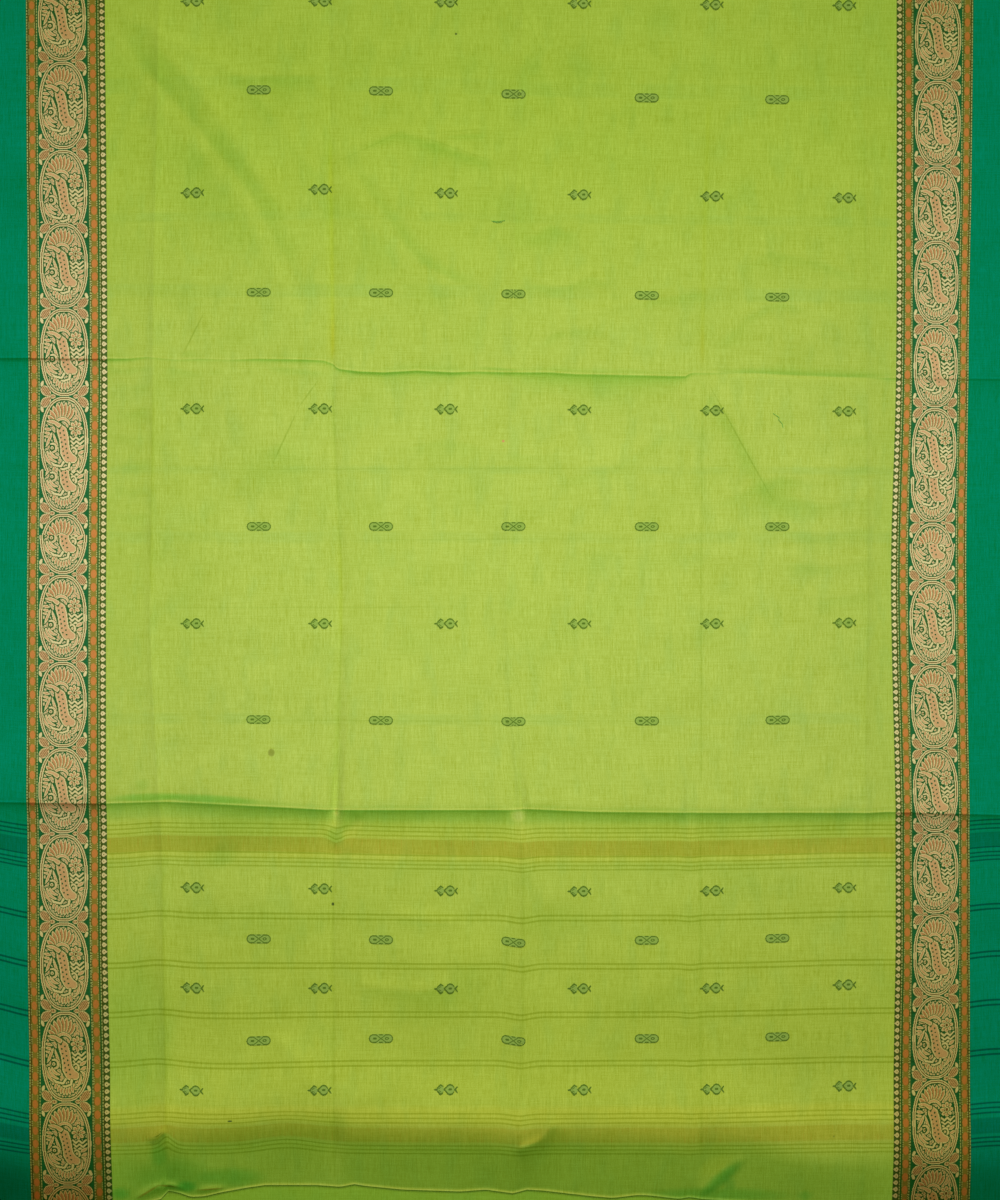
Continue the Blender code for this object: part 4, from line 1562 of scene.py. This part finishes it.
    def _bird(self, chart: Chart, x: Array, y: Array) -> None:
        """The bird with its spotted body, head, tail and feet."""
        for curve in (
            arc((9.5, -21.5), (10.5, 8.0), -60, 50, 1.6),
            arc((8.5, -22.5), (7.0, 9.5), -80, 30, 1.5),
        ):
            chart.form(stroke(x, y, curve))
        body = (
            (-5.6, 16.0, 3.2), (-2.6, 10.5, 5.4), (-0.4, 3.0, 5.2), (0.6, -5.0, 5.0),
            (1.6, -12.5, 5.6), (5.0, -18.2, 6.0), (10.0, -19.5, 4.4),
        )
        form = stroke(x, y, body)
        chart.form(form, Yarn.TAN, rim_width=1.0, gap=1.0)
        for step in range(7):
            middle = (-3.0 + 0.85 * step, 11.8 - 4.8 * step)
            for side in (-2.1, 2.1):
                spot = ellipse(x, y, (middle[0] + side, middle[1] - side * 0.5), (0.9, 1.0))
                chart.lay((spot < 0) & (form < -1.2), None)
        head = ((-6.0, 16.5, 2.4), (-10.0, 19.4, 1.9), (-13.6, 20.4, 2.1), (-18.6, 20.8, 0.9))
        chart.form(stroke(x, y, head), gap=1.0)
        for foot in (
            ((-0.5, -23.0, 1.2), (-3.0, -27.4, 1.1), (-10.5, -26.0, 1.1), (-13.0, -23.4, 0.8)),
            ((5.8, -24.0, 1.2), (5.2, -28.6, 1.1), (-1.0, -30.8, 1.0), (-3.5, -30.0, 0.8)),
        ):
            chart.form(stroke(x, y, foot), Yarn.CREAM)

    def _rim_petals(self, chart: Chart, x: Array, y: Array) -> None:
        """Petals and a lacing along the foot of the oval."""
        for i in range(15):
            turn = math.radians(208 + 9.2 * i)
            c, s = math.cos(turn), math.sin(turn)
            foot, tip = (15.6 * c, 31.6 * s), (20.6 * c, 40.4 * s)
            chart.form(leaf(x, y, foot, tip, 1.75), core=Yarn.SAND)
        for foot, tip in (((9.0, -27.0), (14.6, -24.0)), ((9.5, -30.5), (15.0, -27.6))):
            chart.form(leaf(x, y, foot, tip, 1.5))

    def draw(self, mirrored: bool) -> Chart:
        """Draws the repeat.

        Args:
            mirrored: Whether the bird looks the other way.

        Returns:
            The chart, with its rows from the top down.
        """
        across = np.arange(-self.half_width + self.across_pitch / 2, self.half_width,
                           self.across_pitch)
        rows = round(self.height / self.along_pitch)
        along = -self.along_pitch * (np.arange(rows) + 0.5)
        chart = Chart(across, along)
        oval = self._oval(chart, 0.0)
        chart.shown = oval < -3.5 * self.line_width
        x = -chart.x if mirrored else chart.x
        y = chart.y + self.height / 2
        self._plumes(chart, x, y)
        self._rim_petals(chart, x, y)
        self._sprays(chart, x, y)
        self._bird(chart, x, y)
        self._fill_ground(chart)
        chart.shown = oval > 0.7
        for junction in (0.0, -self.height):
            self._corner_leaves(chart, junction)
        self._outline(chart, oval)
        return chart


@dataclass
class Border:
    """One figured border: dotted lines, two chains, a row of ovals and a row of small rings."""

    side: Side
    width: float = BORDER_WIDTH
    across_pitch: float = 0.56
    along_pitch: float = 0.55
    first: float = -668.0
    last: float = 706.0
    dotted: tuple = (1.3, 12.0, 67.7, 78.4)
    dot_pitch: float = 3.2
    chains: tuple = ((6.6, 3.1, 14.6), (72.6, 3.4, 14.5))
    ring_place: float = 82.3
    ring_pitch: float = 7.35
    band_middle: float = 39.4
    # The highest oval's top, and how high the ovals are from there to the striped end.
    first_tops: dict = field(default_factory=lambda: {Side.LEFT: 761.0, Side.RIGHT: 743.0})
    oval_heights: dict = field(
        default_factory=lambda: {
            Side.LEFT: (94,) * 3 + (79,) + (94,) * 2 + (125, 66) + (94,) * 8,
            Side.RIGHT: (92,) * 3 + (80,) + (92,) * 2 + (126, 63) + (92,) * 3 + (89,) * 5,
        }
    )
    oval: OvalChart = field(default_factory=OvalChart)

    def _edges(self) -> Array:
        """The cell edges across, as places in the cloth."""
        count = round(self.width / self.across_pitch)
        share = np.arange(count + 1) / count
        return mix(*BORDER_PLACES[self.side], share)

    def _paint_lines(self, chart: Chart) -> None:
        """Dotted lines, chains and rings."""
        b, v = chart.x, chart.y
        for i, place in enumerate(self.dotted):
            dash = np.abs((v / self.dot_pitch + 0.37 * i) % 1.0 - 0.5) * self.dot_pitch
            chart.lay((np.abs(b - place) < 0.62) & (dash < 1.15), Yarn.PALE)
        for place, half, pitch in self.chains:
            off = b - place
            phase = ((v / pitch) % 1.0 - 0.5) * pitch
            chart.lay(np.abs(off) < half - 0.3, Yarn.GOLD)
            edge = (np.abs(np.abs(off) - half + 0.1) < 0.55) & (np.abs(phase) > 3.8)
            dash = ((v / 2.2) % 1.0) < 0.5
            chart.lay(edge & dash, Yarn.PALE)
            link = ellipse(b, phase, (place, 0.0), (half + 0.15, 5.4))
            chart.form(link, Yarn.ORANGE, Yarn.GOLD, rim_width=0.5, gap=0.0)
        phase = ((v / self.ring_pitch + 0.15) % 1.0 - 0.5) * self.ring_pitch
        ring = ellipse(b, phase, (self.ring_place, 0.0), (1.9, 2.6))
        tip = np.abs(phase) - np.minimum(2.6, (86.1 - b) * 0.8)
        tip = np.where(b > self.ring_place, tip, 1.0)
        chart.lay((ring < 0) | (tip < 0), Yarn.CREAM)
        chart.lay(ellipse(b, phase, (self.ring_place, 0.0), (0.6, 0.6)) < 0, Yarn.RUSSET)

    def _oval_runs(self, height: float, usual: float) -> list[tuple[float, float]]:
        """Which parts of the repeat an oval is woven from, by how high it is.

        Args:
            height: The oval's height.
            usual: The usual height.

        Returns:
            Shares of the repeat, from its top, each from one to another.
        """
        share = height / usual
        if share > 1.2:
            return [(0.0, 0.84), (1.84 - share, 1.0)]
        if share < 0.75:
            return [(0.0, 0.25), (1.25 - share, 1.0)]
        if share < 0.9:
            return [(0.0, 0.845)]
        return [(0.0, 1.0)]

    def _paint_ovals(self, chart: Chart) -> None:
        """The row of ovals, of which one repeats a part and others miss one."""
        repeat = self.oval.draw(self.side is Side.RIGHT)
        heights = self.oval_heights[self.side]
        tops = self.first_tops[self.side] - np.concatenate([[0], np.cumsum(heights)])
        usual = float(np.median(heights))
        band = np.abs(chart.across - self.band_middle) < self.oval.half_width
        columns = np.interp(
            chart.across[band] - self.band_middle, repeat.across, np.arange(len(repeat.across))
        ).round().astype(int)
        for top, foot in zip(tops, tops[1:]):
            rows = np.nonzero((chart.along <= top) & (chart.along > foot))[0]
            if not len(rows):
                continue
            runs = self._oval_runs(top - foot, usual)
            total = sum(stop - start for start, stop in runs)
            share = (top - chart.along[rows]) / (top - foot) * total
            place = np.zeros(len(rows))
            for start, stop in runs:
                here = (share >= 0) & (share < stop - start)
                place = np.where(here, start + share, place)
                share = np.where(here, -1.0, share - (stop - start))
            found = np.clip((place * len(repeat.along)).astype(int), 0, len(repeat.along) - 1)
            chart.yarn[np.ix_(rows, np.nonzero(band)[0])] = repeat.yarn[np.ix_(found, columns)]

    def build(self, cloth: FoldedCloth) -> bpy.types.Object:
        """Makes the border's floats on the cloth."""
        edges = self._edges()
        count = len(edges) - 1
        across = (np.arange(count) + 0.5) * self.width / count
        rows = np.arange(self.first, self.last, self.along_pitch)
        chart = Chart(across, (rows[:-1] + rows[1:]) / 2)
        self._paint_lines(chart)
        self._paint_ovals(chart)
        floats = Floats(f"{self.side.name.lower()}_border_floats", cloth)
        floats.add(chart.yarn, edges, rows)
        return floats.build()


@dataclass
class Motifs:
    """The small bars and buds that are scattered in rows over the body."""

    pitch: float = 0.45
    bar_half: Point = (13.6, 5.2)
    bud_half: Point = (13.1, 6.3)

    def _chart(self, half: Point) -> Chart:
        """An empty chart of a size."""
        across = np.arange(-half[0], half[0], self.pitch) + self.pitch / 2
        along = np.arange(-half[1], half[1], self.pitch) + self.pitch / 2
        return Chart(across, along)

    def bar(self) -> Chart:
        """Two eyes side by side in a rounded frame, with a wide cross between them."""
        chart = self._chart(self.bar_half)
        x, y = chart.x, chart.y
        frame_line = stroke(x, y, [(-8.4, 0.0, 4.6), (8.4, 0.0, 4.6)])
        chart.lay(frame_line < 0, Yarn.MOSS)
        dark = (frame_line < 0) & (frame_line > -1.1) & (np.abs(x) > 4.4)
        for side in (-1, 1):
            arm = [(-5.4 * side, 4.0, 0.5), (5.4 * side, -4.0, 0.5)]
            dark |= (stroke(x, y, arm) < 0) & (frame_line < 0)
            dark |= ellipse(x, y, (0.0, 4.0 * side), (2.3, 0.8)) < 0
        dark |= ellipse(x, y, (-6.6, 0.0), (2.2, 1.2)) < 0
        soft_eye = ellipse(x, y, (6.4, 0.0), (2.3, 1.5))
        dark |= (soft_eye < 0) & (soft_eye > -0.9)
        chart.lay(dark, Yarn.GREEN)
        return chart

    def bud(self) -> Chart:
        """A bud on its side: a pointed tip, two lobes, a broken ring with an eye, a forked tail."""
        chart = self._chart(self.bud_half)
        x, y = chart.x, chart.y
        chart.lay(stroke(x, y, [(-10.0, 0.0, 1.0), (-5.6, 0.0, 3.8), (-2.0, 0.0, 1.2)]) < 0,
                  Yarn.MOSS)
        chart.lay(ellipse(x, y, (4.8, 0.1), (4.5, 4.6)) < 0, Yarn.MOSS)
        dark = ellipse(x, y, (4.8, 0.2), (2.0, 1.3)) < 0
        for line in (
            ((-12.4, 0.0, 0.5), (-9.8, 0.0, 1.1)),
            ((-9.0, 1.6, 0.6), (-5.6, 4.8, 0.9), (-3.0, 3.4, 0.6)),
            ((-9.0, -1.4, 0.6), (-5.6, -4.9, 1.0), (-3.2, -3.4, 0.6)),
            ((-7.6, 0.9, 0.4), (-5.2, 2.4, 0.4)), ((-7.2, -1.0, 0.4), (-5.0, -2.4, 0.4)),
            ((-1.6, 0.2, 0.9), (0.4, 2.6, 0.5)), ((-1.6, 0.2, 0.9), (0.6, -2.4, 0.5)),
            arc((4.8, 0.1), (4.4, 4.9), 20, 160, 0.8), arc((4.8, 0.1), (4.4, 5.1), -25, -160, 0.8),
            ((10.0, 0.1, 0.9), (12.4, 2.8, 0.6)), ((10.0, 0.1, 0.9), (12.4, -3.0, 0.6)),
        ):
            dark |= stroke(x, y, line) < 0
        chart.lay(dark, Yarn.GREEN)
        return chart

    def build(self, cloth: FoldedCloth) -> bpy.types.Object:
        """Makes the floats of every bar and bud."""
        floats = Floats("motif_floats", cloth, along_warp=False)
        half = self.pitch / 2
        for columns, rows, chart in (
            (BAR_COLUMNS, BAR_ROWS, self.bar()), (BUD_COLUMNS, BUD_ROWS, self.bud()),
        ):
            across = np.append(chart.across - half, chart.across[-1] + half)
            along = np.append(chart.along - half, chart.along[-1] + half)
            for row in rows:
                for column in columns:
                    floats.add(chart.yarn, cloth.columns_at(across + column, row), along + row)
        return floats.build()


@dataclass
class Floats:
    """Lengths of extra yarn over the cloth, one strip for each run of a thread."""

    name: str
    cloth: FoldedCloth
    along_warp: bool = True
    lift: float = 0.28
    cover: float = 0.96
    longest: int = 13
    stagger: int = 2
    # How far from a crest or an end the cloth bends so much that floats are kept short, and how
    # far the bend at the striped end lies from its edge.
    bend_reach: float = 9.0
    end_bend: float = 4.0
    corners: list = field(default_factory=list)
    yarns: list = field(default_factory=list)

    def _runs(self, grid: Array, close: Array) -> tuple[Array, Array, Array, Array]:
        """Splits a chart into runs of one yarn along its rows' direction.

        Args:
            grid: The yarn at each crossing.
            close: Rows in which runs are kept short, because the cloth bends there.

        Returns:
            For each run its column, first row, last row and yarn.
        """
        rows, columns = grid.shape
        starts = np.ones(grid.shape, bool)
        starts[1:] = grid[1:] != grid[:-1]
        row = np.arange(rows)[:, None]
        starts |= (row + self.stagger * np.arange(columns)[None, :]) % self.longest == 0
        starts |= close[:, None] & (row % 2 == 0)
        column, first = np.nonzero(starts.T)
        same = np.append(column[1:] == column[:-1], False)
        last = np.where(same, np.append(first[1:], 0), rows)
        yarn = grid[first, column]
        kept = yarn > 0
        return column[kept], first[kept], last[kept], yarn[kept]

    def add(self, grid: Array, across: Array, along: Array) -> None:
        """Adds the floats of a chart.

        Args:
            grid: The yarn at each crossing.
            across: The edges of its columns in the cloth.
            along: The edges of its rows in the cloth.
        """
        middle = float(np.mean(across))
        crests = [float(guide(table, middle)) for table in (UPPER_CREASE, LOWER_CREASE)]
        ends = [
            float(guide(STRIPED_END, middle)) + self.end_bend, float(guide(END_ROLL, middle))
        ]
        centres = (along[1:] + along[:-1]) / 2
        close = np.zeros(len(centres), bool)
        for place in crests + ends:
            close |= np.abs(centres - place) < self.bend_reach
        if self.along_warp:
            column, first, last, yarn = self._runs(grid, close)
            low, high = across[column], across[column + 1]
            thin = (high - low) * (1 - self.cover) / 2
            box = (low + thin, high - thin, along[first], along[last])
        else:
            column, first, last, yarn = self._runs(grid.T, np.zeros(grid.shape[1], bool))
            low, high = along[column], along[column + 1]
            thin = (high - low) * (1 - self.cover) / 2
            box = (across[first], across[last], low + thin, high - thin)
        u = np.stack([box[0], box[1], box[1], box[0]], -1)
        v = np.stack([box[2], box[2], box[3], box[3]], -1)
        if across[-1] < across[0]:
            u, v = u[:, ::-1], v[:, ::-1]
        self.corners.append(np.stack([u, v], -1))
        self.yarns.append(yarn)

    def build(self) -> bpy.types.Object:
        """Makes the floats as one mesh with a material for each yarn."""
        corners = np.concatenate(self.corners).reshape(-1, 2)
        yarns = np.concatenate(self.yarns)
        points = self.cloth.place(corners[:, 0], corners[:, 1], self.lift)
        faces = np.arange(len(points)).reshape(-1, 4)
        made = mesh_object(self.name, points, faces)
        used = [yarn for yarn in Yarn if (yarns == yarn.value).any()]
        slots = np.zeros(len(Yarn) + 1, np.int32)
        for slot, yarn in enumerate(used):
            made.data.materials.append(YARN_FINISHES[yarn].material())
            slots[yarn.value] = slot
        made.data.polygons.foreach_set("material_index", slots[yarns])
        add_uv(made.data, "cloth", corners * MM)
        # In the baked picture each yarn has a strip of its own, so that colours don't run.
        low, high = corners.min(0), corners.max(0)
        share = (corners - low) / (high - low)
        strip = np.repeat(slots[yarns], 4)
        place = (strip + 0.04 + 0.92 * share[:, 0]) / len(used)
        add_uv(made.data, "OFBake", np.stack([place, share[:, 1]], -1))
        # The floats take the painted light and shade of the cloth's patches under them.
        add_tint(made.data, painted_light_at(points[:, 0], points[:, 1]))
        made.data.update()
        return made


@dataclass
class LooseThreads:
    """Snags and ends of yarn that lie on the cloth, each a thin round thread."""

    radius: float = 0.22
    sides: int = 6
    routes: tuple = (
        ((295, 195), (301, 191), (302, 190), (301, 188), (305, 184), (306, 179)),
        ((-9, 403), (-4, 402.5), (2, 402.8), (6, 403.4)),
        ((-7, 402), (-2, 401.2), (3, 401.6)),
    )

    def build(self, cloth: FoldedCloth) -> bpy.types.Object:
        """Makes the threads, just over the cloth's surface."""
        points, faces = [], []
        for route in self.routes:
            line = self._smooth(cloth, route)
            start = len(points)
            for i, centre in enumerate(line):
                ahead = line[min(i + 1, len(line) - 1)] - line[max(i - 1, 0)]
                ahead /= np.linalg.norm(ahead)
                over = np.cross(ahead, (0, 0, 1))
                over /= np.linalg.norm(over)
                up = np.cross(over, ahead)
                size = self.radius * (0.35 if i in (0, len(line) - 1) else 1.0)
                for k in range(self.sides):
                    turn = 2 * math.pi * k / self.sides
                    points.append(centre + size * (over * math.cos(turn) + up * math.sin(turn)))
            for i in range(len(line) - 1):
                for k in range(self.sides):
                    a, b = start + i * self.sides, start + (i + 1) * self.sides
                    nxt = (k + 1) % self.sides
                    faces.append((a + k, a + nxt, b + nxt, b + k))
        made = mesh_object("loose_threads", np.array(points), np.array(faces))
        add_uv(made.data, "cloth", np.array(points)[:, :2] * MM)
        add_tint(made.data, np.ones((len(points), 3)))
        finish = YarnFinish(
            "snag_green_yarn", linear(104, 200, 92), linear(84, 168, 70), 0.5, takes_end_shade=False
        )
        made.data.materials.append(finish.material())
        return made

    def _smooth(self, cloth: FoldedCloth, route: tuple) -> Array:
        """A route as a close line of points on the cloth."""
        stops = np.array(route, float)
        at = np.linspace(0, len(stops) - 1, 6 * len(stops))
        x = np.interp(at, np.arange(len(stops)), stops[:, 0])
        y = np.interp(at, np.arange(len(stops)), stops[:, 1])
        places = np.array([cloth.woven(a, b) for a, b in zip(x, y)])
        return cloth.place(places[:, 0], places[:, 1], 0.05 + self.radius)


@dataclass
class Studio:
    """Floor, soft lights and the camera straight above."""

    floor_half: float = 6000.0
    cloth_top: float = 9.0
    camera_distance: float = 3000.0
    frame_height: float = 1296.0
    frame_middle: Point = (0.5, -6.5)
    sensor: float = 36.0
    overhead_share: float = 0.66
    overhead_height: float = 910.0
    overhead_size: Point = (1150.0, 260.0)
    overhead_middle: Point = (-20.0, 50.0)
    key_share: float = 0.28
    key_distance: float = 8000.0
    key_rise: float = 25.0
    key_turn: float = 8.0
    key_size: float = 2200.0
    fill: float = 0.14

    def _area_light(
        self, name: str, place: tuple, target: tuple, size: Point, share: float
    ) -> None:
        """Adds a soft light that gives the target a share of the light it needs."""
        data = bpy.data.lights.new(name, "AREA")
        data.shape = "RECTANGLE"
        data.size, data.size_y = size[0] * MM, size[1] * MM
        start, stop = np.array(place) * MM, np.array(target) * MM
        way = start - stop
        distance = float(np.linalg.norm(way))
        data.energy = share * math.pi**2 * distance**2 / (way[2] / distance)
        lamp = bpy.data.objects.new(name, data)
        lamp.location = start
        lamp.rotation_mode = "QUATERNION"
        lamp.rotation_quaternion = Vector(way).to_track_quat("Z", "Y")
        lamp.visible_camera = False
        bpy.context.scene.collection.objects.link(lamp)

    def _floor(self) -> bpy.types.Object:
        """The plain pale floor."""
        half = self.floor_half
        points = np.array([(-half, -half, 0), (half, -half, 0), (half, half, 0), (-half, half, 0)])
        floor = mesh_object("floor", points.astype(float), np.array([(0, 1, 2, 3)]))
        graph = Graph("pale_floor")
        graph.feed(graph.shader.inputs["Base Color"], linear(226, 224, 220))
        graph.feed(graph.shader.inputs["Roughness"], 0.8)
        floor.data.materials.append(graph.material)
        return floor

    def build(self) -> None:
        """Adds floor, lights, world and camera."""
        self._floor()
        x, y = self.overhead_middle
        self._area_light(
            "overhead", (x, y, self.overhead_height), (x, y, 0), self.overhead_size,
            self.overhead_share,
        )
        rise, turn = math.radians(self.key_rise), math.radians(self.key_turn)
        reach = self.key_distance * math.cos(rise)
        place = (reach * math.sin(turn), reach * math.cos(turn), self.key_distance * math.sin(rise))
        self._area_light("key", place, (0, 0, 0), (self.key_size, self.key_size), self.key_share)
        world = bpy.data.worlds.new("studio")
        world.use_nodes = True
        world.node_tree.nodes["Background"].inputs[0].default_value = (1, 1, 1, 1)
        world.node_tree.nodes["Background"].inputs[1].default_value = self.fill
        bpy.context.scene.world = world
        camera = bpy.data.cameras.new("camera")
        camera.sensor_width = self.sensor
        camera.lens = self.sensor * self.camera_distance / self.frame_height
        camera.clip_end = 100
        seat = bpy.data.objects.new("camera", camera)
        x, y = self.frame_middle
        seat.location = (x * MM, y * MM, (self.cloth_top + self.camera_distance) * MM)
        bpy.context.scene.collection.objects.link(seat)
        bpy.context.scene.camera = seat
        bpy.context.scene.view_settings.view_transform = "Standard"


def report(piece: bpy.types.Object) -> bpy.types.Object:
    """Logs a piece and its size, and makes it ride on the cloth's body."""
    faces = len(piece.data.polygons)
    LOG.info("%s: %d points, %d faces", piece.name, len(piece.data.vertices), faces)
    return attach(piece, "root")


def main() -> None:
    """Builds the pieces in order."""
    logging.basicConfig(level=logging.INFO, format="%(message)s")
    Studio().build()
    cloth = FoldedCloth()
    sheet = report(cloth.build())
    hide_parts("sari")
    trims = [report(Border(side).build(cloth)) for side in Side]
    trims.append(report(Motifs().build(cloth)))
    trims.append(report(LooseThreads().build(cloth)))
    cloth.flat_size()
    LOG.info("flat size %.3f x %.3f m", *cloth.flat_size())


if __name__ == "__main__":
    main()
